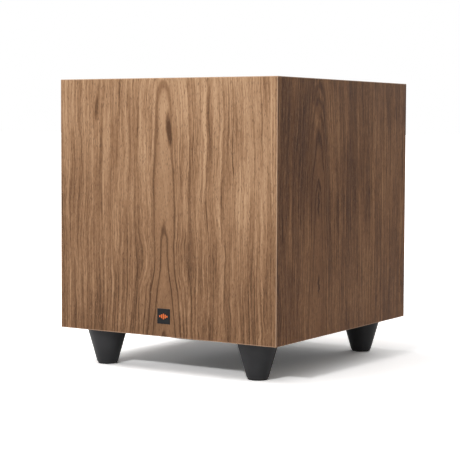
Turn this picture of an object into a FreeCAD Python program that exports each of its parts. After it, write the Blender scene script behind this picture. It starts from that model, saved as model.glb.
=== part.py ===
import FreeCAD
import Part

import math
import os

# Powered ten-inch subwoofer: a veneered box on four conical feet, with a down-firing woofer and port in its
# underside and a plate amplifier in its back.
# Millimetres. +Z is up and the front faces -Y. The origin is on the floor, under the middle of the object.
# Each function that makes a group of pieces returns {node name: shape}. Each node becomes parts/NODE.step.

# ---- cabinet ----
CABINET_WIDTH = 355.0
CABINET_DEPTH = 385.0
CABINET_HEIGHT = 352.0
WALL = 18.0
ARRIS = 0.7  # rounding of the veneered outer edges
FOOT_HEIGHT = 52.0
REAR_PROUD = 14.0  # how far the knobs stand out of the back
FRONT_PROUD = 0.9  # how far the badge stands out of the front
BRACE_THICK = 15.0
BRACE_ABOVE_EDGE = 168.0
BRACE_BACK = 95.0  # its back edge behind the cabinet's middle, clear of the amplifier
BRACE_RIM = 32.0
BLOCK_LEG = 24.0  # corner glue blocks
WADDING_THICK = 22.0

# ---- feet ----
FOOT_INSET_X = 52.0  # foot axis from the side faces
FOOT_INSET_Y = 40.5  # foot axis from the front and back faces
FOOT_TOP_RADIUS = 28.7
FOOT_END_RADIUS = 15.0
PAD_HEIGHT = 2.6
PAD_RADIUS = 13.9
FOOT_BORE_RADIUS = 9.5
BOLT_SEAT = 30.0  # height of the bolt head's seat in the foot
BOLT_RADIUS = 4.0
INSERT_RADIUS = 5.5
INSERT_LENGTH = 14.0

# ---- badge ----
BADGE_SIZE = 21.0
BADGE_POCKET = 0.7
BADGE_ABOVE_EDGE = 28.2  # badge centre above the cabinet's lower edge
BAR_WIDTH = 1.8
BAR_PITCH = 2.9
BAR_HEIGHTS = (2.8, 5.4, 7.8, 5.4, 2.8)
BAR_PROUD = 0.3

# ---- woofer, heights measured up from the cabinet's underside ----
WOOFER_FORWARD = 42.0  # woofer axis in front of the cabinet's middle
FLANGE_RADIUS = 127.0
FLANGE_INNER = 104.0
FLANGE_THICK = 5.0
CUTOUT_RADIUS = 112.0
SCREW_CIRCLE = 119.5
ROLL_RADIUS = 9.0
ROLL_SKIN = 1.2
LANDING = 6.0
CONE_SKIN = 1.4
COIL_RADIUS = 25.9  # outside of the former
FORMER_SKIN = 0.4
COIL_SKIN = 1.3
SPIDER_HEIGHT = 53.7
SPIDER_SKIN = 0.6
SPIDER_ROLL = 2.5
SPIDER_ROLLS = 8
SHELF_HEIGHT = 54.0
FRAME_BACK = 76.0  # where the frame meets the magnet
TOP_PLATE_THICK = 8.0
MAGNET_THICK = 20.0
YOKE_THICK = 8.0
WINDOWS = 6
CONE_NECK = 43.0  # where the cone meets the former
CONE_SAG = 20.0  # height of the middle of the cone's profile
CAP_RADIUS = 36.0
CAP_APEX = 21.0
CAP_SKIN = 0.9
TERMINAL_HEIGHT = 53.0
TERMINAL_BEHIND = 81.0  # terminal block behind the woofer's axis
TERMINAL_X = 9.0
TAB_TALL = 16.0  # top of the tabs above the block's underside

# ---- port ----
PORT_X = 52.0
PORT_BEHIND = 130.0  # port axis behind the cabinet's middle
PORT_RADIUS = 32.0
PORT_SKIN = 2.5
PORT_MOUTH_RADIUS = 40.0
PORT_FLANGE_RADIUS = 42.0
PORT_BEND = 40.0
PORT_RUN_END_X = -110.0

# ---- amplifier, depths measured back from the cabinet's back face ----
PLATE_WIDTH = 210.0
PLATE_HEIGHT = 240.0
PLATE_THICK = 2.0
PLATE_CORNER = 6.0
GASKET_THICK = 1.5
PLATE_MIDDLE = 208.0  # plate centre above the cabinet's lower edge
RIM = 13.0
CHASSIS_DEPTH = 76.0
CHASSIS_SKIN = 1.2
CHASSIS_GAP = 4.0
KNOB_RADIUS = 9.5
SHAFT_RADIUS = 3.0
RUNNING_GAP = 0.04
CONTROL_DEPTH = 8.0  # switch and potentiometer bodies behind the plate
BOARD_THICK = 1.6
MAIN_BOARD_DEPTH = 40.0
CONTROL_ROW = -22.0  # below the plate's centre
SOCKET_ROW = -76.0
GAIN_X = 48.0
CROSSOVER_X = 6.0
PHASE_X = -34.0
MODE_X = -72.0
LINE_LEFT_X = 80.0
LINE_RIGHT_X = 59.0
LFE_X = 30.0
ROCKER_X = -14.0
INLET_X = -60.0
LED_ABOVE_ROW = 20.0
GROMMET_RADIUS = 6.0
LEAD_RADIUS = 1.5
LEAD_EXIT_X = 40.0
LEAD_EXIT_DOWN = 84.0  # below the plate's centre
STUD_X = 79.5  # the main board's studs, from the plate's centre
STUD_Z = 95.0
ROCKER_PIVOT = 4.0  # below the plate's face
ROCKER_RADIUS = 9.4
ROCKER_HALF_WIDTH = 5.0
ROCKER_TILT = 10.0
CAVITY_WIDTH = 24.2
CAVITY_HEIGHT = 16.6
CAVITY_DEPTH = 16.0
CAVITY_UP = 7.0  # cavity centre above the inlet's centre
INLET_PROUD = 2.5
DRAWER_DOWN = 10.0  # drawer centre below the inlet's centre
DRAWER_WIDTH = 22.0
DRAWER_HEIGHT = 9.0
DRAWER_LENGTH = 24.0
ROOM = 0.3  # gap round a piece that moves

# ---- places worked out from the sizes above ----
Y_FRONT = FRONT_PROUD - (CABINET_DEPTH + REAR_PROUD + FRONT_PROUD) / 2
Y_REAR = Y_FRONT + CABINET_DEPTH
Y_MIDDLE = (Y_FRONT + Y_REAR) / 2
X_SIDE = CABINET_WIDTH / 2
Z_BASE = FOOT_HEIGHT
Z_TOP = Z_BASE + CABINET_HEIGHT
Y_WOOFER = Y_MIDDLE - WOOFER_FORWARD
Y_PORT = Y_MIDDLE + PORT_BEHIND
Z_PLATE = Z_BASE + PLATE_MIDDLE
Z_CONTROLS = Z_PLATE + CONTROL_ROW
Z_SOCKETS = Z_PLATE + SOCKET_ROW
LEAD_EXIT_Z = Z_PLATE - LEAD_EXIT_DOWN
Y_PLATE_BACK = Y_REAR - PLATE_THICK  # inner face of the plate
Y_CHASSIS = Y_PLATE_BACK - CHASSIS_DEPTH  # the chassis's back wall
Y_BOARD = Y_REAR - MAIN_BOARD_DEPTH  # component face of the main board
ROLL_MIDDLE = FLANGE_INNER - ROLL_RADIUS  # radius of the middle of the surround's roll
CONE_LIP = ROLL_MIDDLE - ROLL_RADIUS  # where the roll ends and the cone begins
CONE_EDGE = CONE_LIP - LANDING
CONE_PROFILE = ((COIL_RADIUS, CONE_NECK), ((CONE_EDGE + COIL_RADIUS) / 2, CONE_SAG), (CONE_EDGE, 0))

FOOT_PLACES = {
    "front_left": (-(X_SIDE - FOOT_INSET_X), Y_FRONT + FOOT_INSET_Y),
    "front_right": (X_SIDE - FOOT_INSET_X, Y_FRONT + FOOT_INSET_Y),
    "rear_left": (-(X_SIDE - FOOT_INSET_X), Y_REAR - FOOT_INSET_Y),
    "rear_right": (X_SIDE - FOOT_INSET_X, Y_REAR - FOOT_INSET_Y),
}


# ---------------------------------------------------------------- shape helpers
def point(x, y, z):
    return FreeCAD.Vector(x, y, z)


def box(x0, x1, y0, y1, z0, z1):
    return Part.makeBox(x1 - x0, y1 - y0, z1 - z0, point(x0, y0, z0))


def rod(radius, start, end):
    """A cylinder from one point to another."""
    along = end - start
    return Part.makeCylinder(radius, along.Length, start, along)


def pipe(outer, inner, start, end):
    return rod(outer, start, end).cut(rod(inner, start, end))


def union(shapes):
    """One shape from touching or overlapping solids."""
    whole = shapes[0]
    for shape in shapes[1:]:
        whole = whole.fuse(shape)
    return whole.removeSplitter()


def group(shapes):
    """Separate solids kept in one node."""
    return Part.makeCompound(shapes)


def outline(*steps):
    """A closed face in the XZ plane. A step is a corner (r, z), or an arc as (a point on it, its end)."""
    first = point(steps[0][0], 0, steps[0][1])
    here = first
    edges = []
    for step in steps[1:]:
        if isinstance(step[0], tuple):
            middle = point(step[0][0], 0, step[0][1])
            end = point(step[1][0], 0, step[1][1])
            edges.append(Part.Arc(here, middle, end).toShape())
        else:
            end = point(step[0], 0, step[1])
            edges.append(Part.LineSegment(here, end).toShape())
        here = end
    if (here - first).Length > 1e-6:
        edges.append(Part.LineSegment(here, first).toShape())
    return Part.Face(Part.Wire(edges))


def spin(face, x=0.0, y=0.0, z=0.0):
    """Turns an outline about Z into a solid, and puts its axis at x, y and its zero height at z."""
    solid = face.revolve(point(0, 0, 0), point(0, 0, 1), 360)
    solid.translate(point(x, y, z))
    return solid


def facing_back(shape, x, z, y=Y_REAR):
    """Takes a shape drawn along +Z to the cabinet's back, where its +Z points out of the back (+Y)."""
    placed = shape.copy()
    placed.rotate(point(0, 0, 0), point(1, 0, 0), -90)
    placed.translate(point(x, y, z))
    return placed


def rounded_slab(width, height, thick, corner):
    """A plate in XY, centred on Z's axis, with round corners, from z 0 up."""
    slab = box(-width / 2, width / 2, -height / 2, height / 2, 0, thick)
    upright = [e for e in slab.Edges if abs(e.Vertexes[0].Z - e.Vertexes[1].Z) > thick / 2]
    return slab.makeFillet(corner, upright)


def slab_from_corners(outer, inner):
    """A solid between two four-cornered faces, each listed the same way round."""
    faces = [Part.Face(Part.makePolygon(ring + ring[:1])) for ring in (outer, inner)]
    for k in range(4):
        n = (k + 1) % 4
        ring = [outer[k], outer[n], inner[n], inner[k]]
        faces.append(Part.Face(Part.makePolygon(ring + ring[:1])))
    solid = Part.Solid(Part.Shell(faces))
    if solid.Volume < 0:
        solid.reverse()
    return solid


def path(points):
    """A wire of straight runs joined by tangent arcs, each as large as its two runs allow."""
    edges = []
    here = points[0]
    radii = []
    for before, corner, after in zip(points, points[1:], points[2:]):
        into = (corner - before).normalize()
        out = (after - corner).normalize()
        turn = into.getAngle(out)
        run = min((corner - before).Length, (after - corner).Length)
        radius = 0.45 * run / math.tan(turn / 2)
        trim = 0.45 * run
        start = corner - into * trim
        end = corner + out * trim
        bisector = (out - into).normalize()
        centre = corner + bisector * (radius / math.cos(turn / 2))
        edges.append(Part.LineSegment(here, start).toShape())
        edges.append(Part.Arc(start, centre - bisector * radius, end).toShape())
        radii.append(round(radius, 1))
        here = end
    edges.append(Part.LineSegment(here, points[-1]).toShape())
    return Part.Wire(edges), radii


def cord(points, radius, name):
    """A round cord along a path. Prints its bend radii and its volume over its section times its length."""
    route, radii = path(points)
    normal = points[1] - points[0]
    section = Part.Wire(Part.makeCircle(radius, points[0], normal))
    solid = route.makePipeShell([section], True, True)
    ratio = solid.Volume / (math.pi * radius**2 * route.Length)
    print(f"{name}: length {route.Length:.0f}, radii {radii}, volume ratio {ratio:.4f}")
    return solid


def screw(head_radius, head_height, shank_radius, length):
    """A pan-head screw along Z: the head above zero with a cross recess, the shank below it."""
    head = outline(
        (0, 0), (head_radius, 0), (head_radius, head_height * 0.45),
        ((head_radius * 0.78, head_height * 0.9), (0, head_height)),
    )
    body = union([spin(head), rod(shank_radius, point(0, 0, -length), point(0, 0, 0.01))])
    slot = head_radius * 0.62
    narrow = head_radius * 0.11
    depth = head_height * 0.45
    for width, breadth in ((slot, narrow), (narrow, slot)):
        body = body.cut(box(-width, width, -breadth, breadth, depth, head_height + 1))
    return body


# ---------------------------------------------------------------- cabinet
def plate_screw_places():
    """(x, z) of the ten screws in the amplifier plate's rim."""
    x = PLATE_WIDTH / 2 - RIM / 2
    spread = PLATE_HEIGHT / 2 - RIM / 2
    return [(side * x, Z_PLATE + k * spread / 2) for side in (-1, 1) for k in (-2, -1, 0, 1, 2)]


def cabinet():
    left, right = -X_SIDE, X_SIDE
    in_left, in_right = left + WALL, right - WALL
    in_front, in_rear, in_top = Y_FRONT + WALL, Y_REAR - WALL, Z_TOP - WALL
    block = box(left, right, Y_FRONT, Y_REAR, Z_BASE, Z_TOP)
    block = block.makeFillet(ARRIS, block.Edges)

    def upright(x0, x1, y, inner_x0, inner_x1, inner_y):
        """A front or back panel: mitred at both sides and the top, square at the bottom."""
        outer = [point(x0, y, Z_BASE), point(x1, y, Z_BASE), point(x1, y, Z_TOP), point(x0, y, Z_TOP)]
        inner = [
            point(inner_x0, inner_y, Z_BASE), point(inner_x1, inner_y, Z_BASE),
            point(inner_x1, inner_y, in_top), point(inner_x0, inner_y, in_top),
        ]
        return slab_from_corners(outer, inner).common(block)

    def side(x, inner_x):
        outer = [
            point(x, Y_FRONT, Z_BASE), point(x, Y_REAR, Z_BASE),
            point(x, Y_REAR, Z_TOP), point(x, Y_FRONT, Z_TOP),
        ]
        inner = [
            point(inner_x, in_front, Z_BASE), point(inner_x, in_rear, Z_BASE),
            point(inner_x, in_rear, in_top), point(inner_x, in_front, in_top),
        ]
        return slab_from_corners(outer, inner).common(block)

    front = upright(left, right, Y_FRONT, in_left, in_right, in_front)
    half = BADGE_SIZE / 2
    z_badge = Z_BASE + BADGE_ABOVE_EDGE
    pocket = box(-half, half, Y_FRONT - 1, Y_FRONT + BADGE_POCKET, z_badge - half, z_badge + half)
    front = front.cut(pocket)

    rear = upright(left, right, Y_REAR, in_left, in_right, in_rear)
    sink = PLATE_THICK + GASKET_THICK
    recess = rounded_slab(PLATE_WIDTH + 1, PLATE_HEIGHT + 1, sink + 1, PLATE_CORNER)
    rear = rear.cut(facing_back(recess, 0, Z_PLATE, Y_REAR - sink))
    half_w, half_h = PLATE_WIDTH / 2 - RIM, PLATE_HEIGHT / 2 - RIM
    rear = rear.cut(box(-half_w, half_w, Y_REAR - WALL - 1, Y_REAR + 1, Z_PLATE - half_h, Z_PLATE + half_h))
    pilot = 1.9
    for x, z in plate_screw_places():
        rear = rear.cut(rod(pilot, point(x, Y_REAR - WALL + 2, z), point(x, Y_REAR, z)))

    top_outer = [
        point(left, Y_FRONT, Z_TOP), point(right, Y_FRONT, Z_TOP),
        point(right, Y_REAR, Z_TOP), point(left, Y_REAR, Z_TOP),
    ]
    top_inner = [
        point(in_left, in_front, in_top), point(in_right, in_front, in_top),
        point(in_right, in_rear, in_top), point(in_left, in_rear, in_top),
    ]
    return {
        "front_panel": front,
        "rear_panel": rear,
        "left_panel": side(left, in_left),
        "right_panel": side(right, in_right),
        "top_panel": slab_from_corners(top_outer, top_inner).common(block),
        "bottom_panel": bottom_panel(in_left, in_right, in_front, in_rear),
        "window_brace": window_brace(in_left, in_right, in_front),
        "corner_blocks": corner_blocks(in_left, in_right, in_front, in_rear),
        "damping_wadding": damping_wadding(in_left, in_right, in_front, in_top),
    }


def screw_circle():
    """(x, y) of the eight woofer screws."""
    turn = math.pi / 4
    return [
        (SCREW_CIRCLE * math.cos((k + 0.5) * turn), Y_WOOFER + SCREW_CIRCLE * math.sin((k + 0.5) * turn))
        for k in range(8)
    ]


def bottom_panel(in_left, in_right, in_front, in_rear):
    """The black baffle between the walls, with openings for the woofer, the port and the feet's inserts."""
    gap = 0.4
    panel = box(in_left, in_right, in_front, in_rear, Z_BASE, Z_BASE + WALL)
    under, over = Z_BASE - 1, Z_BASE + WALL + 1
    cuts = [
        rod(CUTOUT_RADIUS, point(0, Y_WOOFER, under), point(0, Y_WOOFER, over)),
        rod(FLANGE_RADIUS + gap, point(0, Y_WOOFER, under), point(0, Y_WOOFER, Z_BASE + FLANGE_THICK)),
        rod(PORT_RADIUS + PORT_SKIN + gap, point(PORT_X, Y_PORT, under), point(PORT_X, Y_PORT, over)),
        rod(PORT_FLANGE_RADIUS + gap, point(PORT_X, Y_PORT, under), point(PORT_X, Y_PORT, Z_BASE + 3)),
    ]
    cuts += [
        rod(INSERT_RADIUS, point(x, y, under), point(x, y, Z_BASE + INSERT_LENGTH))
        for x, y in FOOT_PLACES.values()
    ]
    cuts += [rod(2.45, point(x, y, under), point(x, y, Z_BASE + 17)) for x, y in screw_circle()]
    for cut in cuts:
        panel = panel.cut(cut)
    return panel


def window_brace(in_left, in_right, in_front):
    """A horizontal stiffener glued to the front and side walls, with two windows."""
    z0 = Z_BASE + BRACE_ABOVE_EDGE
    z1 = z0 + BRACE_THICK
    back = Y_MIDDLE + BRACE_BACK
    brace = box(in_left, in_right, in_front, back, z0, z1)
    width = (in_right - in_left - 3 * BRACE_RIM) / 2
    corner = 18.0
    window = rounded_slab(width, back - in_front - 2 * BRACE_RIM, BRACE_THICK + 2, corner)
    for side in (-1, 1):
        opening = window.copy()
        opening.translate(point(side * (width + BRACE_RIM) / 2, (in_front + back) / 2, z0 - 1))
        brace = brace.cut(opening)
    return brace


def corner_blocks(in_left, in_right, in_front, in_rear):
    """Triangular glue blocks in the four upright corners, between the bottom panel and the brace."""
    z0 = Z_BASE + WALL
    height = BRACE_ABOVE_EDGE - WALL
    blocks = []
    for x, inward_x in ((in_left, 1), (in_right, -1)):
        for y, inward_y in ((in_front, 1), (in_rear, -1)):
            corner = [
                point(x, y, z0), point(x + inward_x * BLOCK_LEG, y, z0),
                point(x, y + inward_y * BLOCK_LEG, z0),
            ]
            face = Part.Face(Part.makePolygon(corner + corner[:1]))
            blocks.append(face.extrude(point(0, 0, height)))
    return group(blocks)


def damping_wadding(in_left, in_right, in_front, in_top):
    """Four soft batts on the walls above the brace."""
    z0 = Z_BASE + BRACE_ABOVE_EDGE + BRACE_THICK + 4
    z1 = in_top - WADDING_THICK - 6
    back = Y_MIDDLE + BRACE_BACK - 5
    y0 = in_front + WADDING_THICK + 4
    x = in_right - WADDING_THICK
    return group([
        box(in_left, -x, y0, back, z0, z1),
        box(x, in_right, y0, back, z0, z1),
        box(4 - x, x - 4, in_front, in_front + WADDING_THICK, z0, z1),
        box(4 - x, x - 4, y0, back, in_top - WADDING_THICK, in_top),
    ])


# ---------------------------------------------------------------- feet and badge
def feet():
    """Moulded cones with a deep bolt bore, closed at the floor by a rubber pad."""
    pieces = {}
    cone = spin(outline(
        (BOLT_RADIUS + 0.3, Z_BASE), (BOLT_RADIUS + 0.3, BOLT_SEAT), (FOOT_BORE_RADIUS, BOLT_SEAT),
        (FOOT_BORE_RADIUS, PAD_HEIGHT), (FOOT_END_RADIUS - 0.6, PAD_HEIGHT),
        (FOOT_END_RADIUS + 0.1, PAD_HEIGHT + 0.9), (FOOT_TOP_RADIUS, Z_BASE - 0.6),
        (FOOT_TOP_RADIUS - 0.5, Z_BASE),
    ))
    plug = 5.0
    pad = spin(outline(
        (0, 0), (PAD_RADIUS - 0.9, 0), (PAD_RADIUS, 0.8), (PAD_RADIUS, PAD_HEIGHT),
        (FOOT_BORE_RADIUS - 0.1, PAD_HEIGHT),
        (FOOT_BORE_RADIUS - 0.1, PAD_HEIGHT + plug), (0, PAD_HEIGHT + plug),
    ))
    head = 8.0
    shank_end = Z_BASE + INSERT_LENGTH - 1
    bolt = union([
        rod(6.5, point(0, 0, BOLT_SEAT - head), point(0, 0, BOLT_SEAT)),
        rod(BOLT_RADIUS, point(0, 0, BOLT_SEAT), point(0, 0, shank_end)),
    ])
    across = 3.46  # from the axis to a corner of the 6 mm hexagon key
    key = [
        point(across * math.cos(k * math.pi / 3), across * math.sin(k * math.pi / 3), BOLT_SEAT - head - 1)
        for k in range(7)
    ]
    bolt = bolt.cut(Part.Face(Part.makePolygon(key)).extrude(point(0, 0, 5)))
    insert_top = point(0, 0, Z_BASE + INSERT_LENGTH)
    insert = pipe(INSERT_RADIUS, BOLT_RADIUS + 0.1, point(0, 0, Z_BASE), insert_top)

    def at(shape, place):
        moved = shape.copy()
        moved.translate(point(place[0], place[1], 0))
        return moved

    for name, place in FOOT_PLACES.items():
        pieces["foot_" + name] = at(cone, place)
    pieces["foot_pads"] = group([at(pad, place) for place in FOOT_PLACES.values()])
    pieces["foot_bolts"] = group([at(bolt, place) for place in FOOT_PLACES.values()])
    pieces["foot_inserts"] = group([at(insert, place) for place in FOOT_PLACES.values()])
    return pieces


def badge():
    """A small square plate let into the front, with a raised mark of five sound-level bars."""
    half = BADGE_SIZE / 2 - 0.1
    z = Z_BASE + BADGE_ABOVE_EDGE
    face = Y_FRONT - FRONT_PROUD + BAR_PROUD
    plate = box(-half, half, face, Y_FRONT + BADGE_POCKET, z - half, z + half)
    front_edges = [e for e in plate.Edges if all(abs(v.Y - face) < 1e-6 for v in e.Vertexes)]
    plate = plate.makeChamfer(0.25, front_edges)
    bars = []
    for k, height in enumerate(BAR_HEIGHTS):
        x = (k - (len(BAR_HEIGHTS) - 1) / 2) * BAR_PITCH
        reach = (height - BAR_WIDTH) / 2
        bar = box(x - BAR_WIDTH / 2, x + BAR_WIDTH / 2, face - BAR_PROUD, face, z - reach, z + reach)
        ends = [
            rod(BAR_WIDTH / 2, point(x, face - BAR_PROUD, z + s * reach), point(x, face, z + s * reach))
            for s in (-1, 1)
        ]
        bars.append(union([bar] + ends))
    return {"badge_plate": plate, "badge_mark": group(bars)}


# ---------------------------------------------------------------- woofer
def in_cabinet(face):
    return spin(face, 0, Y_WOOFER, Z_BASE)


def cone_height(radius):
    """Height of the cone's front surface at a radius."""
    arc = Part.Arc(*[point(r, 0, h) for r, h in CONE_PROFILE]).toShape()
    line = Part.LineSegment(point(radius, 0, -200), point(radius, 0, 200)).toShape()
    return arc.distToShape(line)[1][0][0].z


def woofer_frame():
    """Cast frame: flange, six spokes, spider shelf and the seat of the magnet."""
    frame = in_cabinet(outline(
        (FLANGE_INNER, 0), (FLANGE_RADIUS - 1, 0), (FLANGE_RADIUS, 1), (FLANGE_RADIUS, FLANGE_THICK),
        (FLANGE_INNER + LANDING, FLANGE_THICK), (81, 52), (81, 60), (68, 70.5), (68, FRAME_BACK),
        (31, FRAME_BACK), (31, FRAME_BACK - 4.5), (61, FRAME_BACK - 4.5), (69, 64.5), (69, SHELF_HEIGHT),
        (75.5, SHELF_HEIGHT), (FLANGE_INNER + 1, FLANGE_THICK), (FLANGE_INNER, FLANGE_THICK - 1),
    ))
    low, high, turn = 11.0, 48.0, 38.0  # each window's edges above the underside, and its angle
    pitch = 360 / WINDOWS
    up = point(0, 0, 1)
    for k in range(WINDOWS):
        wedge = Part.makeCylinder(FLANGE_RADIUS, high - low, point(0, Y_WOOFER, Z_BASE + low), up, turn)
        wedge.rotate(point(0, Y_WOOFER, 0), up, (k + 0.5) * pitch + (pitch - turn) / 2)
        frame = frame.cut(wedge)
    for x, y in screw_circle():
        frame = frame.cut(rod(2.8, point(x, y, Z_BASE - 1), point(x, y, Z_BASE + FLANGE_THICK + 1)))
    return frame


def woofer_surround():
    """Half-roll rubber edge that bulges down, with a flat landing on the frame and one on the cone."""
    skin = ROLL_SKIN
    outer = ROLL_RADIUS + skin
    foot = math.sqrt(outer**2 - skin**2)
    return in_cabinet(outline(
        (FLANGE_INNER + LANDING, 0), (FLANGE_INNER, 0), ((ROLL_MIDDLE, -ROLL_RADIUS), (CONE_LIP, 0)),
        (CONE_EDGE, 0), (CONE_EDGE, -skin), (ROLL_MIDDLE - foot, -skin),
        ((ROLL_MIDDLE, -outer), (ROLL_MIDDLE + foot, -skin)), (FLANGE_INNER + LANDING, -skin),
    ))


def woofer_spider():
    """Corrugated cloth disc: half circles, up and down in turn, between the former and the shelf."""
    half = SPIDER_SKIN / 2
    level = SPIDER_HEIGHT
    outer_end = 69.0
    inner_end = outer_end - 2 * SPIDER_ROLL * SPIDER_ROLLS
    middles = [inner_end + (2 * k + 1) * SPIDER_ROLL for k in range(SPIDER_ROLLS)]
    shoulder = math.sqrt((SPIDER_ROLL + half) ** 2 - half**2)

    def arcs(offset, order, way):
        """One face of the cloth: an arc for each roll, travelled outwards (way 1) or inwards (way -1)."""
        steps = []
        for k in order:
            up = -1 if k % 2 else 1
            reach = SPIDER_ROLL + up * offset
            steps.append(((middles[k], level + up * reach), (middles[k] + way * reach, level)))
        return steps

    steps = [
        (COIL_RADIUS, level - half), (COIL_RADIUS, level + half), (middles[0] - shoulder, level + half),
    ]
    steps += arcs(half, range(SPIDER_ROLLS), 1)
    steps += [
        (outer_end, level + half), (75, level + half), (75, level - half),
        (middles[-1] + shoulder, level - half),
    ]
    steps += arcs(-half, reversed(range(SPIDER_ROLLS)), -1)
    steps += [(inner_end, level - half)]
    return in_cabinet(outline(*steps))


def dust_cap():
    """A thin spherical dome glued to the front of the cone."""
    seat = cone_height(CAP_RADIUS) - 0.05
    rise = seat - CAP_APEX
    radius = (CAP_RADIUS**2 + rise**2) / (2 * rise)
    centre = point(0, Y_WOOFER, Z_BASE + CAP_APEX + radius)
    dome = Part.makeSphere(radius, centre).cut(Part.makeSphere(radius - CAP_SKIN, centre))
    return dome.common(rod(CAP_RADIUS + 5, point(0, Y_WOOFER, Z_BASE), point(0, Y_WOOFER, Z_BASE + seat)))


def woofer():
    skin = CONE_SKIN
    neck, middle, edge = CONE_PROFILE
    cone = in_cabinet(outline(
        (CONE_LIP, 0), (CONE_LIP, skin), (CONE_EDGE + 0.6, skin),
        ((middle[0] + 0.9, middle[1] + skin), (COIL_RADIUS, CONE_NECK + 2.2)), neck, (middle, edge),
    ))
    gasket = in_cabinet(outline(
        (FLANGE_INNER + 1.5, -ROLL_SKIN), (FLANGE_INNER + 2.5, -2.6), (FLANGE_INNER + 10, -2.6),
        (FLANGE_INNER + 10.6, -2), (FLANGE_INNER + 10.6, 0), (FLANGE_INNER + LANDING, 0),
        (FLANGE_INNER + LANDING, -ROLL_SKIN),
    ))
    plate_top = FRAME_BACK + TOP_PLATE_THICK
    magnet_top = plate_top + MAGNET_THICK
    yoke_top = magnet_top + YOKE_THICK
    inside = COIL_RADIUS - FORMER_SKIN
    outside = COIL_RADIUS + COIL_SKIN
    pole = inside - 0.8
    gap = outside + 1.0
    vent = 9.0
    former_low, former_high = 40.0, 91.5
    winding_low, winding_high = 69.0, 91.0
    former = outline(
        (inside, former_low), (COIL_RADIUS, former_low), (COIL_RADIUS, former_high), (inside, former_high),
    )
    winding = outline(
        (COIL_RADIUS, winding_low), (outside, winding_low), (outside, winding_high),
        (COIL_RADIUS, winding_high),
    )
    return {
        "woofer_frame": woofer_frame(),
        "woofer_gasket": gasket,
        "woofer_surround": woofer_surround(),
        "woofer_cone": cone,
        "woofer_dust_cap": dust_cap(),
        "voice_coil": group([in_cabinet(former), in_cabinet(winding)]),
        "woofer_spider": woofer_spider(),
        "magnet_front_plate": in_cabinet(outline(
            (gap, FRAME_BACK), (63, FRAME_BACK), (63, plate_top), (gap, plate_top),
        )),
        "ferrite_magnet": in_cabinet(outline(
            (42, plate_top), (69, plate_top), (70, plate_top + 1), (70, magnet_top - 1), (69, magnet_top),
            (42, magnet_top),
        )),
        "magnet_yoke": in_cabinet(outline(
            (vent, 73), (pole, 73), (pole, magnet_top), (66, magnet_top), (66, yoke_top - 1.5),
            (64.5, yoke_top), (vent + 4, yoke_top), (vent, yoke_top - 4),
        )),
        "woofer_terminals": woofer_terminals(),
        "tinsel_leads": tinsel_leads(),
        "woofer_screws": woofer_screws(),
    }


def woofer_terminals():
    """A moulded block on the rear spoke with two flat tabs that point up."""
    z = Z_BASE + TERMINAL_HEIGHT
    y = Y_WOOFER + TERMINAL_BEHIND
    base = box(-15, 15, y, y + 5, z, z + 7)
    tabs = []
    for side in (-1, 1):
        x = side * TERMINAL_X
        tab = box(x - 3.15, x + 3.15, y + 2, y + 2.8, z - 3, z + TAB_TALL)
        base = base.cut(tab)
        tabs.append(tab)
    return group([base] + tabs)


def tinsel_leads():
    """Two flexible braids from the tabs, round the rear spoke and through its windows to the cone's back."""
    leads = []
    radius = 0.8
    end = 47.5  # where a braid meets the cone, behind the axis
    z_end = cone_height(math.hypot(14, end)) + CONE_SKIN + radius + 1.0
    for side in (-1, 1):
        bend = [
            point(side * TERMINAL_X, Y_WOOFER + TERMINAL_BEHIND + 2.4, Z_BASE + TERMINAL_HEIGHT - 3.9),
            point(side * (TERMINAL_X + 1), Y_WOOFER + 86, Z_BASE + 47),
            point(side * 15, Y_WOOFER + 88.5, Z_BASE + 44.5),
            point(side * 22, Y_WOOFER + 85, Z_BASE + 41),
            point(side * 21.5, Y_WOOFER + 74, Z_BASE + 36),
            point(side * 18, Y_WOOFER + 60, Z_BASE + 33),
            point(side * 14, Y_WOOFER + end, Z_BASE + z_end),
        ]
        leads.append(cord(bend, radius, "tinsel lead"))
    return group(leads)


def woofer_screws():
    screws = []
    for x, y in screw_circle():
        one = screw(4.4, 3.0, 2.4, 16)
        one.rotate(point(0, 0, 0), point(1, 0, 0), 180)
        one.translate(point(x, y, Z_BASE))
        screws.append(one)
    return group(screws)


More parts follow.
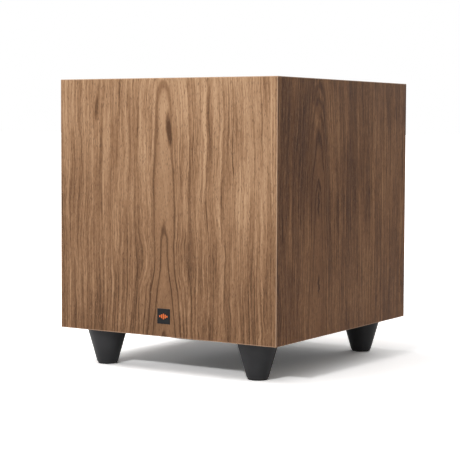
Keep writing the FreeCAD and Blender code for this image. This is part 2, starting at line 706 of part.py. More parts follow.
# ---------------------------------------------------------------- port
def port():
    """A flared mouth in the underside and a tube that turns along the back wall under the amplifier."""
    outer = PORT_RADIUS + PORT_SKIN
    flange = 2.8
    joint = 22.0
    lip = PORT_MOUTH_RADIUS - PORT_RADIUS
    bow = lip * (1 - math.sqrt(0.5))
    flare = spin(outline(
        (PORT_MOUTH_RADIUS, 0), (PORT_FLANGE_RADIUS - 0.6, 0), (PORT_FLANGE_RADIUS, 0.6),
        (PORT_FLANGE_RADIUS, flange), (outer, flange), (outer, joint), (PORT_RADIUS, joint),
        (PORT_RADIUS, lip), ((PORT_RADIUS + bow, bow), (PORT_MOUTH_RADIUS, 0)),
    ), PORT_X, Y_PORT, Z_BASE)
    start = point(PORT_X, Y_PORT, Z_BASE + joint)
    corner = point(PORT_X, Y_PORT, Z_BASE + joint + PORT_BEND + 2)
    end = point(PORT_RUN_END_X, Y_PORT, corner.z)
    rise = point(PORT_X, Y_PORT, corner.z - PORT_BEND)
    level = point(PORT_X - PORT_BEND, Y_PORT, corner.z)
    centre = point(PORT_X - PORT_BEND, Y_PORT, corner.z - PORT_BEND)
    middle = centre + point(PORT_BEND * math.sqrt(0.5), 0, PORT_BEND * math.sqrt(0.5))
    route = Part.Wire([
        Part.LineSegment(start, rise).toShape(), Part.Arc(rise, middle, level).toShape(),
        Part.LineSegment(level, end).toShape(),
    ])
    walls = []
    for radius in (outer, PORT_RADIUS):
        section = Part.Wire(Part.makeCircle(radius, start, point(0, 0, 1)))
        walls.append(route.makePipeShell([section], True, True))
    tube = walls[0].cut(walls[1])
    sleeve = outer + 2.2
    socket = pipe(sleeve, outer, point(PORT_X, Y_PORT, Z_BASE + WALL), start)
    ring = pipe(sleeve, PORT_RADIUS, start, rise)
    end_ring = pipe(outer + 3, PORT_RADIUS, end, end + point(5, 0, 0))
    return {"port_flare": flare, "port_tube": union([tube, ring, socket, end_ring])}


# ---------------------------------------------------------------- amplifier
def plate_cuts():
    """Everything that passes through the amplifier plate, as shapes to cut out of it."""
    cuts = []
    deep = PLATE_THICK + 2

    def hole(radius, x, z):
        cuts.append(rod(radius, point(x, Y_REAR - deep, z), point(x, Y_REAR + 1, z)))

    def slot(width, height, x, z):
        cuts.append(
            box(x - width / 2, x + width / 2, Y_REAR - deep, Y_REAR + 1, z - height / 2, z + height / 2)
        )

    for x in (GAIN_X, CROSSOVER_X):
        hole(3.6, x, Z_CONTROLS)
    for x in (PHASE_X, MODE_X):
        slot(11.4, 5.6, x, Z_CONTROLS)
    for x in (LINE_LEFT_X, LINE_RIGHT_X, LFE_X):
        hole(5.6, x, Z_SOCKETS)
    slot(13.6, 22.6, ROCKER_X, Z_SOCKETS)
    slot(27.6, 34.6, INLET_X, Z_SOCKETS)
    hole(2.6, MODE_X, Z_CONTROLS + LED_ABOVE_ROW)
    for x, z in plate_screw_places():
        hole(2.3, x, z)
    return cuts


def amp_case():
    plate = facing_back(
        rounded_slab(PLATE_WIDTH, PLATE_HEIGHT, PLATE_THICK, PLATE_CORNER), 0, Z_PLATE, Y_PLATE_BACK,
    )
    for cut in plate_cuts():
        plate = plate.cut(cut)
    studs = [
        pipe(3.2, 1.5, point(x, Y_BOARD + BOARD_THICK, Z_PLATE + z), point(x, Y_PLATE_BACK, Z_PLATE + z))
        for x in (-STUD_X, STUD_X) for z in (-STUD_Z, STUD_Z)
    ]
    sheet = rounded_slab(PLATE_WIDTH, PLATE_HEIGHT, GASKET_THICK, PLATE_CORNER)
    gasket = facing_back(sheet, 0, Z_PLATE, Y_PLATE_BACK - GASKET_THICK)
    half_w, half_h = PLATE_WIDTH / 2 - RIM, PLATE_HEIGHT / 2 - RIM
    gasket = gasket.cut(box(-half_w, half_w, Y_REAR - 20, Y_REAR, Z_PLATE - half_h, Z_PLATE + half_h))
    for x, z in plate_screw_places():
        gasket = gasket.cut(rod(2.3, point(x, Y_REAR - 6, z), point(x, Y_REAR + 1, z)))

    case_w, case_h = half_w - CHASSIS_GAP, half_h - CHASSIS_GAP
    skin = CHASSIS_SKIN
    case = box(-case_w, case_w, Y_CHASSIS, Y_PLATE_BACK, Z_PLATE - case_h, Z_PLATE + case_h)
    case = case.cut(box(
        skin - case_w, case_w - skin, Y_CHASSIS + skin, Y_PLATE_BACK + 1,
        Z_PLATE - case_h + skin, Z_PLATE + case_h - skin,
    ))
    exit_hole = point(LEAD_EXIT_X, Y_CHASSIS - 1, LEAD_EXIT_Z)
    case = case.cut(rod(GROMMET_RADIUS, exit_hole, exit_hole + point(0, 5, 0)))
    screws = [facing_back(screw(3.9, 2.2, 1.85, 15), x, z) for x, z in plate_screw_places()]
    return {
        "amp_plate": group([plate] + studs),
        "amp_gasket": gasket,
        "amp_chassis": case,
        "amp_screws": group(screws),
        "heatsink": heatsink(),
    }


def heatsink():
    """Finned extrusion on the plate, above the controls."""
    base, fin_height, fin, fins = 3.0, 9.0, 1.6, 14
    width, height = 150.0, 88.0
    z0 = Z_PLATE + 18
    sink = [box(-width / 2, width / 2, Y_REAR, Y_REAR + base, z0, z0 + height)]
    step = (width - fin) / (fins - 1)
    for k in range(fins):
        x = -width / 2 + k * step
        sink.append(box(x, x + fin, Y_REAR + base, Y_REAR + base + fin_height, z0, z0 + height))
    return union(sink)


def boards():
    """Circuit boards and the large components on them, inside the chassis."""
    main = box(-84, 84, Y_BOARD, Y_BOARD + BOARD_THICK, Z_PLATE - 99, Z_PLATE + 99)
    y_front = Y_PLATE_BACK - CONTROL_DEPTH
    control = box(-86, 62, y_front - BOARD_THICK, y_front, Z_CONTROLS - 12, Z_CONTROLS + 24)
    inputs = box(LFE_X - 9, 86, y_front - BOARD_THICK, y_front, Z_SOCKETS - 10, Z_SOCKETS + 10)
    capacitors = [
        rod(11, point(x, Y_BOARD - 30, Z_PLATE + z), point(x, Y_BOARD, Z_PLATE + z))
        for x in (-62, -36) for z in (74, 48)
    ]
    low, high = Z_PLATE + 36, Z_PLATE + 84
    core = union([
        box(8, 56, Y_BOARD - 28, Y_BOARD - 20, low, high),
        box(8, 56, Y_BOARD - 8, Y_BOARD, low, high),
        box(8, 16, Y_BOARD - 20, Y_BOARD - 8, low, high),
        box(48, 56, Y_BOARD - 20, Y_BOARD - 8, low, high),
    ])
    winding = box(20, 44, Y_BOARD - 19.5, Y_BOARD - 8.5, low - 6, high + 6)
    chokes = [
        pipe(14, 6.5, point(x, Y_BOARD - 14, Z_PLATE - 20), point(x, Y_BOARD, Z_PLATE - 20))
        for x in (-40, 0, 40)
    ]
    return {
        "main_board": main,
        "control_boards": group([control, inputs]),
        "filter_capacitors": group(capacitors),
        "power_transformer": group([core, winding]),
        "output_chokes": group(chokes),
    }


def controls():
    """Knobs on their potentiometers, and two slide switches."""
    pieces = {}
    knob_length = REAR_PROUD - 0.8
    grip = spin(outline(
        (0, 0), (KNOB_RADIUS - 0.6, 0), (KNOB_RADIUS, 0.6), (KNOB_RADIUS - 0.5, knob_length - 1.2),
        (KNOB_RADIUS - 1.7, knob_length), (0, knob_length),
    ))
    flutes = 24
    for k in range(flutes):
        turn = 2 * math.pi * k / flutes
        at = point((KNOB_RADIUS + 0.45) * math.cos(turn), (KNOB_RADIUS + 0.45) * math.sin(turn), 2.2)
        grip = grip.cut(rod(0.85, at, at + point(0, 0, knob_length)))
    grip = grip.cut(box(-0.55, 0.55, -KNOB_RADIUS - 1, -2.2, knob_length - 0.6, knob_length + 1))
    grip = grip.cut(rod(SHAFT_RADIUS + 0.02, point(0, 0, -1), point(0, 0, knob_length - 3)))
    shaft = rod(SHAFT_RADIUS, point(0, 0, -PLATE_THICK - 7 - 0.8), point(0, 0, knob_length - 3.2))
    for name, x in (("gain_knob", GAIN_X), ("crossover_knob", CROSSOVER_X)):
        pieces[name] = facing_back(group([grip, shaft]), x, Z_CONTROLS, Y_REAR + 0.8)

    pots = []
    for x in (GAIN_X, CROSSOVER_X):
        body = box(x - 8, x + 8, Y_PLATE_BACK - CONTROL_DEPTH, Y_PLATE_BACK, Z_CONTROLS - 8, Z_CONTROLS + 8)
        bush = rod(3.5, point(x, Y_PLATE_BACK, Z_CONTROLS), point(x, Y_REAR + 0.5, Z_CONTROLS))
        bore_start = point(x, Y_PLATE_BACK - 7.2, Z_CONTROLS)
        bore = rod(SHAFT_RADIUS + RUNNING_GAP, bore_start, point(x, Y_REAR + 1, Z_CONTROLS))
        pots.append(union([body, bush]).cut(bore))
    pieces["potentiometers"] = group(pots)

    bodies = []
    for name, x in (("phase_slider", PHASE_X), ("mode_slider", MODE_X)):
        low, high = Z_CONTROLS - 4.5, Z_CONTROLS + 4.5
        body = box(x - 11, x + 11, Y_PLATE_BACK - CONTROL_DEPTH, Y_PLATE_BACK, low, high)
        track = box(x - 5.4, x + 5.4, Y_PLATE_BACK - 5, Y_REAR + 1, Z_CONTROLS - 2.4, Z_CONTROLS + 2.4)
        bodies.append(body.cut(track))
        # the rider rests at +X, which is on the left to a person who faces the back
        rider = box(x + 0.4, x + 5.0, Y_PLATE_BACK - 4.7, Y_REAR + 3, Z_CONTROLS - 2.1, Z_CONTROLS + 2.1)
        for k in (-1, 0, 1):
            middle = x + 2.7 + k * 1.3
            rider = rider.cut(box(middle - 0.25, middle + 0.25, Y_REAR + 2.5, Y_REAR + 4, low, high))
        pieces[name] = rider
    pieces["slide_switch_bodies"] = group(bodies)
    crown = point(MODE_X, Y_REAR + 0.4, Z_CONTROLS + LED_ABOVE_ROW)
    body = rod(2.5, point(crown.x, Y_PLATE_BACK - CONTROL_DEPTH, crown.z), crown)
    pieces["status_light"] = union([body, Part.makeSphere(2.5, crown)])
    return pieces


def power_switch():
    """A rocker in its frame. It rests tilted to off, and turns twice the tilt to on."""
    x, z = ROCKER_X, Z_SOCKETS
    pivot_y = Y_REAR - ROCKER_PIVOT
    wide = ROCKER_HALF_WIDTH
    frame = union([
        box(x - 6.6, x + 6.6, Y_REAR - 17, Y_REAR, z - 11.1, z + 11.1),
        facing_back(rounded_slab(16, 25.5, 1.4, 2), x, z, Y_REAR),
    ])
    well = wide + ROOM
    frame = frame.cut(rod(ROCKER_RADIUS + ROOM, point(x - well, pivot_y, z), point(x + well, pivot_y, z)))
    pin = 1.2
    seat = wide + 1.1
    frame = frame.cut(rod(pin + RUNNING_GAP, point(x - seat, pivot_y, z), point(x + seat, pivot_y, z)))
    rocker = rod(ROCKER_RADIUS, point(x - wide, pivot_y, z), point(x + wide, pivot_y, z))
    dip, crest, reach = Y_REAR + 0.4, Y_REAR + 2.4, 8.5
    start, end, clear = x - wide - 1, x + wide + 1, Y_REAR + 12
    profile = [
        point(start, dip, z), point(start, crest, z + reach), point(start, clear, z + reach),
        point(start, clear, z - reach), point(start, crest, z - reach),
    ]
    rocker = rocker.cut(Part.Face(Part.makePolygon(profile + profile[:1])).extrude(point(end - start, 0, 0)))
    for s in (-1, 1):
        rocker = rocker.cut(box(start, end, crest - 0.01, clear, z + s * reach - 3, z + s * reach + 3))
    rocker = rocker.cut(box(start, end, pivot_y - 12, pivot_y - 3, z - 12, z + 12))
    rocker = union([rocker, rod(pin, point(start, pivot_y, z), point(end, pivot_y, z))])
    rocker.rotate(point(x, pivot_y, z), point(1, 0, 0), ROCKER_TILT)
    return {"power_switch_frame": frame, "power_rocker": rocker}


def mains_inlet():
    """Three-pin appliance inlet with a fuse drawer under it."""
    x, z = INLET_X, Z_SOCKETS
    face = Y_REAR + INLET_PROUD
    body = union([
        box(x - 13.7, x + 13.7, Y_REAR - 26, Y_REAR, z - 17.1, z + 17.1),
        facing_back(rounded_slab(33, 40, INLET_PROUD, 3), x, z, Y_REAR),
    ])
    cavity = box(
        x - CAVITY_WIDTH / 2, x + CAVITY_WIDTH / 2, face - CAVITY_DEPTH, face + 1,
        z + CAVITY_UP - CAVITY_HEIGHT / 2, z + CAVITY_UP + CAVITY_HEIGHT / 2,
    )
    along = [e for e in cavity.Edges if abs(e.Vertexes[0].Y - e.Vertexes[1].Y) > 1]
    upper = [e for e in along if e.CenterOfMass.z > z + CAVITY_UP]
    body = body.cut(cavity.makeChamfer(4.5, upper))
    z_cavity = z + CAVITY_UP
    pins = [
        box(x + px - 1, x + px + 1, Y_REAR - 32, face - 4.6, z_cavity + pz - 2, z_cavity + pz + 2)
        for px, pz in ((-7, -2), (0, 2), (7, -2))
    ]
    for pin in pins:
        body = body.cut(pin)
    z_drawer = z - DRAWER_DOWN
    body = body.cut(box(
        x - DRAWER_WIDTH / 2 - ROOM, x + DRAWER_WIDTH / 2 + ROOM, face - DRAWER_LENGTH - ROOM, face + 1,
        z_drawer - DRAWER_HEIGHT / 2 - ROOM, z_drawer + DRAWER_HEIGHT / 2 + ROOM,
    ))
    drawer = box(
        x - DRAWER_WIDTH / 2, x + DRAWER_WIDTH / 2, face - DRAWER_LENGTH, face + 0.8,
        z_drawer - DRAWER_HEIGHT / 2, z_drawer + DRAWER_HEIGHT / 2,
    )
    drawer = drawer.cut(box(x - 3, x + 3, face - 0.8, face + 2, z_drawer - 1.2, z_drawer + 1.2))
    fuse_start = point(x, face - DRAWER_LENGTH + 1.5, z_drawer)
    fuse_end = fuse_start + point(0, 20, 0)
    drawer = drawer.cut(box(
        x - 2.7, x + 2.7, fuse_start.y - 0.2, fuse_end.y + 0.2, z_drawer - 2.7, z_drawer + DRAWER_HEIGHT,
    ))
    glass = rod(2.3, fuse_start + point(0, 5, 0), fuse_end - point(0, 5, 0))
    caps = [
        rod(2.6, fuse_start, fuse_start + point(0, 5, 0)), rod(2.6, fuse_end - point(0, 5, 0), fuse_end),
    ]
    return {
        "mains_inlet": body,
        "inlet_pins": group(pins),
        "fuse_drawer": drawer,
        "fuse": group([glass] + caps),
    }


def line_inputs():
    """Three phono sockets: a metal barrel and a moulded insulator each."""
    barrels, insulators = [], []
    for x in (LINE_LEFT_X, LINE_RIGHT_X, LFE_X):
        barrel = spin(
            outline((3.5, -10), (3.95, -10), (3.95, 2.4), (4.15, 2.4), (4.15, 8.6), (3.75, 9), (3.5, 9))
        )
        collar = spin(
            outline((3.95, -10), (5.5, -10), (5.5, 0), (6.4, 0), (6.4, 2), (6, 2.4), (3.95, 2.4))
        )
        core = spin(outline((0, -10), (3.5, -10), (3.5, 8.4), (1.65, 8.4), (1.65, -7), (0, -7)))
        barrels.append(facing_back(barrel, x, Z_SOCKETS))
        insulators += [facing_back(collar, x, Z_SOCKETS), facing_back(core, x, Z_SOCKETS)]
    return {"phono_barrels": group(barrels), "phono_insulators": group(insulators)}


def wiring():
    """The grommet in the chassis and the two insulated leads from the board to the woofer's tabs."""
    inner, flange, thick = 4.2, 8.0, 2.2
    fitted = GROMMET_RADIUS - 0.1
    grommet = spin(outline(
        (inner, -thick), (flange, -thick), (flange, 0), (fitted, 0), (fitted, CHASSIS_SKIN),
        (flange, CHASSIS_SKIN), (flange, CHASSIS_SKIN + thick), (inner, CHASSIS_SKIN + thick),
    ))
    leads = []
    tab_y = Y_WOOFER + TERMINAL_BEHIND + 2.4
    tab_z = Z_BASE + TERMINAL_HEIGHT + TAB_TALL
    for side, name in ((1, "lead to the positive tab"), (-1, "lead to the negative tab")):
        x_out = LEAD_EXIT_X + side * 1.9
        x_tab = side * TERMINAL_X
        route = [
            point(x_out, Y_BOARD, LEAD_EXIT_Z),
            point(x_out, Y_CHASSIS - 14, LEAD_EXIT_Z),
            point(x_out - 5, Y_CHASSIS - 36, LEAD_EXIT_Z + 5 + side * 3),
            point((x_out + x_tab) / 2, tab_y + 10, tab_z + 42 + side * 4),
            point(x_tab, tab_y, tab_z + 24),
            point(x_tab, tab_y, tab_z),
        ]
        leads.append(cord(route, LEAD_RADIUS, name))
    return {
        "cable_grommet": facing_back(grommet, LEAD_EXIT_X, LEAD_EXIT_Z, Y_CHASSIS),
        "speaker_leads": group(leads),
    }


ASSEMBLIES = (
    cabinet, feet, badge, woofer, port, amp_case, boards, controls, power_switch, mains_inlet, line_inputs,
    wiring,
)


def main():
    os.makedirs("parts", exist_ok=True)
    made = {}
    for assembly in ASSEMBLIES:
        made.update(assembly())
    for name, shape in made.items():
        faults = [s for s in shape.Solids if not s.isValid() or s.Volume <= 0]
        if faults or not shape.Solids:
            print("FAULT in", name, len(shape.Solids), [s.Volume for s in shape.Solids])
        shape.exportStep(f"parts/{name}.step")
    print(len(made), "nodes", sum(len(s.Solids) for s in made.values()), "solids")


main()
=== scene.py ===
import math
import random

import bmesh
import bpy
from mathutils import Matrix, Vector


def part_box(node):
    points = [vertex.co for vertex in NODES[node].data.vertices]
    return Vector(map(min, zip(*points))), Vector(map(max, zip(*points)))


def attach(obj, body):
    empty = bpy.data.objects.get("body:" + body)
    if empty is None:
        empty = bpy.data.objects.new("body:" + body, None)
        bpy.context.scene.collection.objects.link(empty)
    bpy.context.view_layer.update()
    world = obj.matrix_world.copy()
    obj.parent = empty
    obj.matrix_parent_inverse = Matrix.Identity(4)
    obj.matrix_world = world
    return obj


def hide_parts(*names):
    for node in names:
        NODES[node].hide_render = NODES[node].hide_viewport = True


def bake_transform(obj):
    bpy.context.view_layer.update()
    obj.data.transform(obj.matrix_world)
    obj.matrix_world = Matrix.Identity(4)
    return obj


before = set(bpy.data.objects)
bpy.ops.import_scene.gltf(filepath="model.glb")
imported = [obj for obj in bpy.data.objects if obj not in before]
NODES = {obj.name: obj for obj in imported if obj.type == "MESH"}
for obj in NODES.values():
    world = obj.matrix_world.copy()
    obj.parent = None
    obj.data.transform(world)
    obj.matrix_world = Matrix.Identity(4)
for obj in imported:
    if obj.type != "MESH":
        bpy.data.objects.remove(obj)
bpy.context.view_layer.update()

MM = 0.001
PER_METRE = 1000.0
WHITE = (1, 1, 1)
KNOBS = ("gain_knob", "crossover_knob")
random.seed(7)

# ---------------------------------------------------------------- places read from the frame
LEFT_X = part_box("left_panel")[0].x
RIGHT_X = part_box("right_panel")[1].x
FRONT_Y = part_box("front_panel")[0].y
REAR_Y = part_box("rear_panel")[1].y
BASE_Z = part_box("foot_front_left")[1].z
TOP_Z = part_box("top_panel")[1].z
MIDDLE_Y = (FRONT_Y + REAR_Y) / 2
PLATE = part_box("amp_plate")


def middle(node):
    """The middle of a node's box, in metres."""
    low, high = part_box(node)
    return (low + high) / 2


# ---------------------------------------------------------------- camera, light and floor
AZIMUTH, ELEVATION, ROLL = 32.09, 3.446, 0.2445
CAMERA_DISTANCE = 2.1472
TARGET_ABOVE_BASE = 0.1571
TARGET_ASIDE = -0.01252
LENS_MM = 114.44
LENS_SHIFT = -0.032609
AMBIENT = 0.45
FLOOR_SEEN = (1.62, 1.62, 1.62)
FLOOR_BOUNCE = (0.80, 0.80, 0.80)
FLOOR_REACH = 60.0


def make_camera():
    """The viewing angle of a product shot: 32 degrees round to the right, a little above the middle."""
    azimuth, elevation, roll = [math.radians(angle) for angle in (AZIMUTH, ELEVATION, ROLL)]
    level = math.cos(elevation)
    back = Vector((math.sin(azimuth) * level, -math.cos(azimuth) * level, math.sin(elevation)))
    right = Vector((math.cos(azimuth), math.sin(azimuth), 0))
    up = back.cross(right)
    tilted_right = right * math.cos(roll) + up * math.sin(roll)
    tilted_up = up * math.cos(roll) - right * math.sin(roll)
    target = Vector((0, MIDDLE_Y, BASE_Z + TARGET_ABOVE_BASE)) + right * TARGET_ASIDE
    data = bpy.data.cameras.new("camera")
    data.lens = LENS_MM
    data.shift_y = LENS_SHIFT
    camera = bpy.data.objects.new("camera", data)
    bpy.context.scene.collection.objects.link(camera)
    turn = Matrix((tilted_right, tilted_up, back)).transposed()
    camera.matrix_world = Matrix.Translation(target + back * CAMERA_DISTANCE) @ turn.to_4x4()
    bpy.context.scene.camera = camera


def softbox(name, place, target, size, power):
    """A rectangular area light, turned to a target."""
    data = bpy.data.lights.new(name, "AREA")
    data.shape = "RECTANGLE"
    data.size, data.size_y = size
    data.energy = power
    light = bpy.data.objects.new(name, data)
    bpy.context.scene.collection.objects.link(light)
    light.location = place
    light.rotation_euler = (Vector(target) - Vector(place)).to_track_quat("-Z", "Y").to_euler()


def make_studio():
    """A small hard key in front, soft lights high in front, on the left and behind, and a white room
    that is dim for everything but the camera."""
    softbox("key", (0.12, -1.42, 0.80), (0.05, FRONT_Y, 0.15), (0.09, 0.09), 9.4)
    softbox("high_front", (-0.10, -0.80, 1.10), (0, -0.2, 0.30), (0.60, 0.40), 2.5)
    softbox("high_left", (-0.9, -0.15, 1.9), (0, 0, 0.1), (1.6, 1.6), 15)
    softbox("low_left", (-1.5, -0.10, 0.40), (-0.1, 0, 0.05), (0.8, 0.5), 6.0)
    softbox("behind", (0.10, 1.75, 0.95), (0, 0.1, 0.2), (1.2, 1.2), 9)
    world = bpy.data.worlds.new("studio")
    world.use_nodes = True
    nodes, links = world.node_tree.nodes, world.node_tree.links
    ambient = nodes["Background"]
    ambient.inputs["Color"].default_value = (1, 1, 1, 1)
    ambient.inputs["Strength"].default_value = AMBIENT
    seen = nodes.new("ShaderNodeBackground")
    seen.inputs["Color"].default_value = (1, 1, 1, 1)
    path = nodes.new("ShaderNodeLightPath")
    choose = nodes.new("ShaderNodeMixShader")
    links.new(path.outputs["Is Camera Ray"], choose.inputs["Fac"])
    links.new(ambient.outputs[0], choose.inputs[1])
    links.new(seen.outputs[0], choose.inputs[2])
    links.new(choose.outputs[0], nodes["World Output"].inputs["Surface"])
    bpy.context.scene.world = world
    bpy.context.scene.view_settings.view_transform = "Standard"


def make_floor():
    """A floor that looks white and fades into the background, throws back most of the light, and can be
    looked through from below."""
    mesh = bpy.data.meshes.new("floor")
    corners = [(-1, -1), (1, -1), (1, 1), (-1, 1)]
    mesh.from_pydata([(x * FLOOR_REACH, y * FLOOR_REACH, 0) for x, y in corners], [], [(0, 1, 2, 3)])
    floor = bpy.data.objects.new("floor", mesh)
    bpy.context.scene.collection.objects.link(floor)
    g = Graph("pale_floor")
    seen = g.node("BsdfDiffuse", {"Color": FLOOR_SEEN})
    bounced = g.node("BsdfDiffuse", {"Color": FLOOR_BOUNCE})
    glow = g.node("Emission", {"Color": WHITE, "Strength": g.span(g.distance(), 0.7, 3.0)})
    lit = g.node("AddShader", {0: seen.outputs[0], 1: glow.outputs[0]})
    path = g.node("LightPath")
    both = g.node("MixShader", {0: path.outputs["Is Camera Ray"], 1: bounced.outputs[0], 2: lit.outputs[0]})
    below = g.node("NewGeometry").outputs["Backfacing"]
    clear = g.node("BsdfTransparent")
    sheet = g.node("MixShader", {0: below, 1: both.outputs[0], 2: clear.outputs[0]})
    output = g.node("OutputMaterial")
    g.tree.links.new(sheet.outputs[0], output.inputs["Surface"])
    mesh.materials.append(g.material)


# ---------------------------------------------------------------- a short way to write materials
class Graph:
    """One material's nodes. Values are numbers, tuples or sockets."""

    def __init__(self, name):
        self.material = bpy.data.materials.new(name)
        self.material.use_nodes = True
        self.tree = self.material.node_tree
        self.tree.nodes.clear()
        self.coordinates = self.tree.nodes.new("ShaderNodeTexCoord").outputs["Object"]

    def put(self, socket, value):
        if isinstance(value, bpy.types.NodeSocket):
            self.tree.links.new(value, socket)
        elif isinstance(value, tuple) and len(value) == 3 and socket.type == "RGBA":
            socket.default_value = (*value, 1)
        else:
            socket.default_value = value

    def node(self, kind, inputs=(), **settings):
        node = self.tree.nodes.new("ShaderNode" + kind)
        for key, value in settings.items():
            setattr(node, key, value)
        for key, value in dict(inputs).items():
            self.put(node.inputs[key], value)
        return node

    def math(self, operation, a, b=0.0):
        return self.node("Math", {0: a, 1: b}, operation=operation).outputs[0]

    def add(self, a, b):
        return self.math("ADD", a, b)

    def minus(self, a, b):
        return self.math("SUBTRACT", a, b)

    def times(self, a, b):
        return self.math("MULTIPLY", a, b)

    def size(self, value):
        """The value without its sign."""
        return self.math("ABSOLUTE", value)

    def hypot(self, a, b):
        return self.math("SQRT", self.add(self.times(a, a), self.times(b, b)))

    def vector(self, x=0.0, y=0.0, z=0.0):
        return self.node("CombineXYZ", {0: x, 1: y, 2: z}).outputs[0]

    def axes(self):
        """The three coordinates in millimetres."""
        scaled = self.node("VectorMath", {0: self.coordinates, 3: PER_METRE}, operation="SCALE")
        return self.node("SeparateXYZ", {0: scaled.outputs[0]}).outputs

    def distance(self):
        """Metres from the frame's origin."""
        return self.node("VectorMath", {0: self.coordinates}, operation="LENGTH").outputs["Value"]

    def noise(self, vector, scale=1.0, detail=2.0, roughness=0.5, distortion=0.0):
        inputs = {"Vector": vector, "Scale": scale, "Detail": detail, "Roughness": roughness}
        return self.node("TexNoise", {**inputs, "Distortion": distortion}).outputs["Fac"]

    def swing(self, vector, **settings):
        """Noise about zero."""
        return self.add(self.noise(vector, **settings), -0.5)

    def cells(self, vector, scale=1.0):
        node = self.node("TexVoronoi", {"Vector": vector, "Scale": scale})
        return node.outputs["Distance"], self.node("SeparateXYZ", {0: node.outputs["Color"]}).outputs[0]

    def span(self, value, low, high, to_low=0.0, to_high=1.0, smooth=True):
        inputs = {"Value": value, "From Min": low, "From Max": high, "To Min": to_low, "To Max": to_high}
        kind = "SMOOTHSTEP" if smooth else "LINEAR"
        return self.node("MapRange", inputs, interpolation_type=kind).outputs["Result"]

    def ramp(self, value, stops):
        node = self.node("ValToRGB", {"Fac": value})
        band = node.color_ramp
        while len(band.elements) < len(stops):
            band.elements.new(0.5)
        for element, (place, colour) in zip(band.elements, stops):
            element.position = place
            element.color = (*colour, 1)
        return node.outputs["Color"]

    def curve(self, value, length, points):
        """A smooth curve through given points, given as (share of the length, value)."""
        low, high = min(p[1] for p in points), max(p[1] for p in points)
        spread = max(high - low, 1.0)
        node = self.node("FloatCurve", {"Value": self.times(value, 1 / length)})
        line = node.mapping.curves[0]
        while len(line.points) < len(points):
            line.points.new(0.5, 0.5)
        for point, (share, height) in zip(line.points, points):
            point.location = (share, (height - low) / spread)
        node.mapping.update()
        return self.add(self.times(node.outputs[0], spread), low)

    def mix(self, factor, a, b, blend="MIX"):
        node = self.node("Mix", {0: factor, 6: a, 7: b}, data_type="RGBA", blend_type=blend)
        return node.outputs[2]

    def tint(self, colour, value):
        """A colour brightened or darkened by a factor."""
        return self.mix(1.0, colour, self.vector(value, value, value), "MULTIPLY")

    def bump(self, height, distance, strength=1.0, normal=None):
        inputs = {"Height": height, "Distance": distance * MM, "Strength": strength}
        if normal is not None:
            inputs["Normal"] = normal
        return self.node("Bump", inputs).outputs[0]

    def surface(self, base, roughness=0.5, metal=0.0, normal=None, **others):
        inputs = {"Base Color": base, "Roughness": roughness, "Metallic": metal}
        if normal is not None:
            inputs["Normal"] = normal
        for key, value in others.items():
            inputs[key.replace("_", " ").title().replace("Ior", "IOR")] = value
        shader = self.node("BsdfPrincipled", inputs)
        output = self.node("OutputMaterial")
        self.tree.links.new(shader.outputs[0], output.inputs["Surface"])
        return self.material


# ---------------------------------------------------------------- walnut veneer
DARK_WALNUT = (0.085, 0.036, 0.015)
MID_WALNUT = (0.250, 0.125, 0.060)
PALE_WALNUT = (0.450, 0.262, 0.143)
PORE_COLOUR = (0.070, 0.032, 0.017)
RAY_COLOUR = (0.60, 0.40, 0.25)
# pale edge colour: rubbed wear and a painted highlight on the arris
WORN_EDGE_AND_HIGHLIGHT = (0.62, 0.43, 0.29)
RAW_BOARD = (0.33, 0.22, 0.13)
PALE_BOARD = (0.42, 0.30, 0.19)
GRAIN_LENGTH = (TOP_Z - BASE_Z) * PER_METRE
# each ring's distance from the pith, and how far from it its line starts and is full, in mm
ARCH_RINGS = [(31.0, 1.5, 0.2), (24.5, 0.8, 0.1), (18.0, 0.7, 0.1)]


def spot(g, u, v, place, reach):
    """1 at a place on the veneer, fading to 0 at an ellipse round it."""
    across = g.times(g.minus(u, place[0]), 1 / reach[0])
    along = g.times(g.minus(v, place[1]), 1 / reach[1])
    far = g.hypot(across, along)
    return g.span(far, 1.0, 0.2)


def edge_gap(g, xyz, axis):
    """Millimetres from a point to the nearer of the cabinet's two faces across an axis."""
    low, high = ((LEFT_X, RIGHT_X), (FRONT_Y, REAR_Y), (BASE_Z, TOP_Z))[axis]
    off = g.size(g.minus(xyz[axis], (low + high) * PER_METRE / 2))
    return g.minus((high - low) * PER_METRE / 2, off)


def streaked(g, u, v, size, seed, **settings):
    """Noise about zero, in streaks of a size in mm across and along the grain."""
    return g.swing(g.vector(g.times(u, 1 / size[0]), g.times(v, 1 / size[1]), seed), **settings)


def ring_field(g, u, v, depth, narrow, seed):
    """Each point's distance from the pith, and its place across the grain once the grain wavers."""
    plain_steepness = narrow[-1][1]
    far_out = g.size(u)
    slow = streaked(g, u, v, (70, 160), seed)
    quick = streaked(g, u, v, (16, 48), seed + 5, detail=3.0)
    calm = g.span(far_out, 4.0, 30.0, 0.35, 1.0)
    waved = g.add(u, g.times(g.add(g.times(slow, 15.0), g.times(quick, 6.5)), calm))
    deep = g.curve(v, GRAIN_LENGTH, depth)
    pinch = g.add(g.curve(v, GRAIN_LENGTH, narrow), -plain_steepness)
    pinch = g.times(pinch, g.span(far_out, 55.0, 15.0))
    ring = g.hypot(g.times(waved, g.add(pinch, plain_steepness)), deep)
    return g.add(ring, g.times(streaked(g, u, v, (5, 26), seed), 1.3)), waved


def arch_lines(g, ring):
    """The dark lines of the arches, one for each of three rings."""
    lines = 0.0
    for place, outer, inner in ARCH_RINGS:
        lines = g.math("MAXIMUM", lines, g.span(g.size(g.add(ring, -place)), outer, inner))
    return g.times(lines, 1.2)


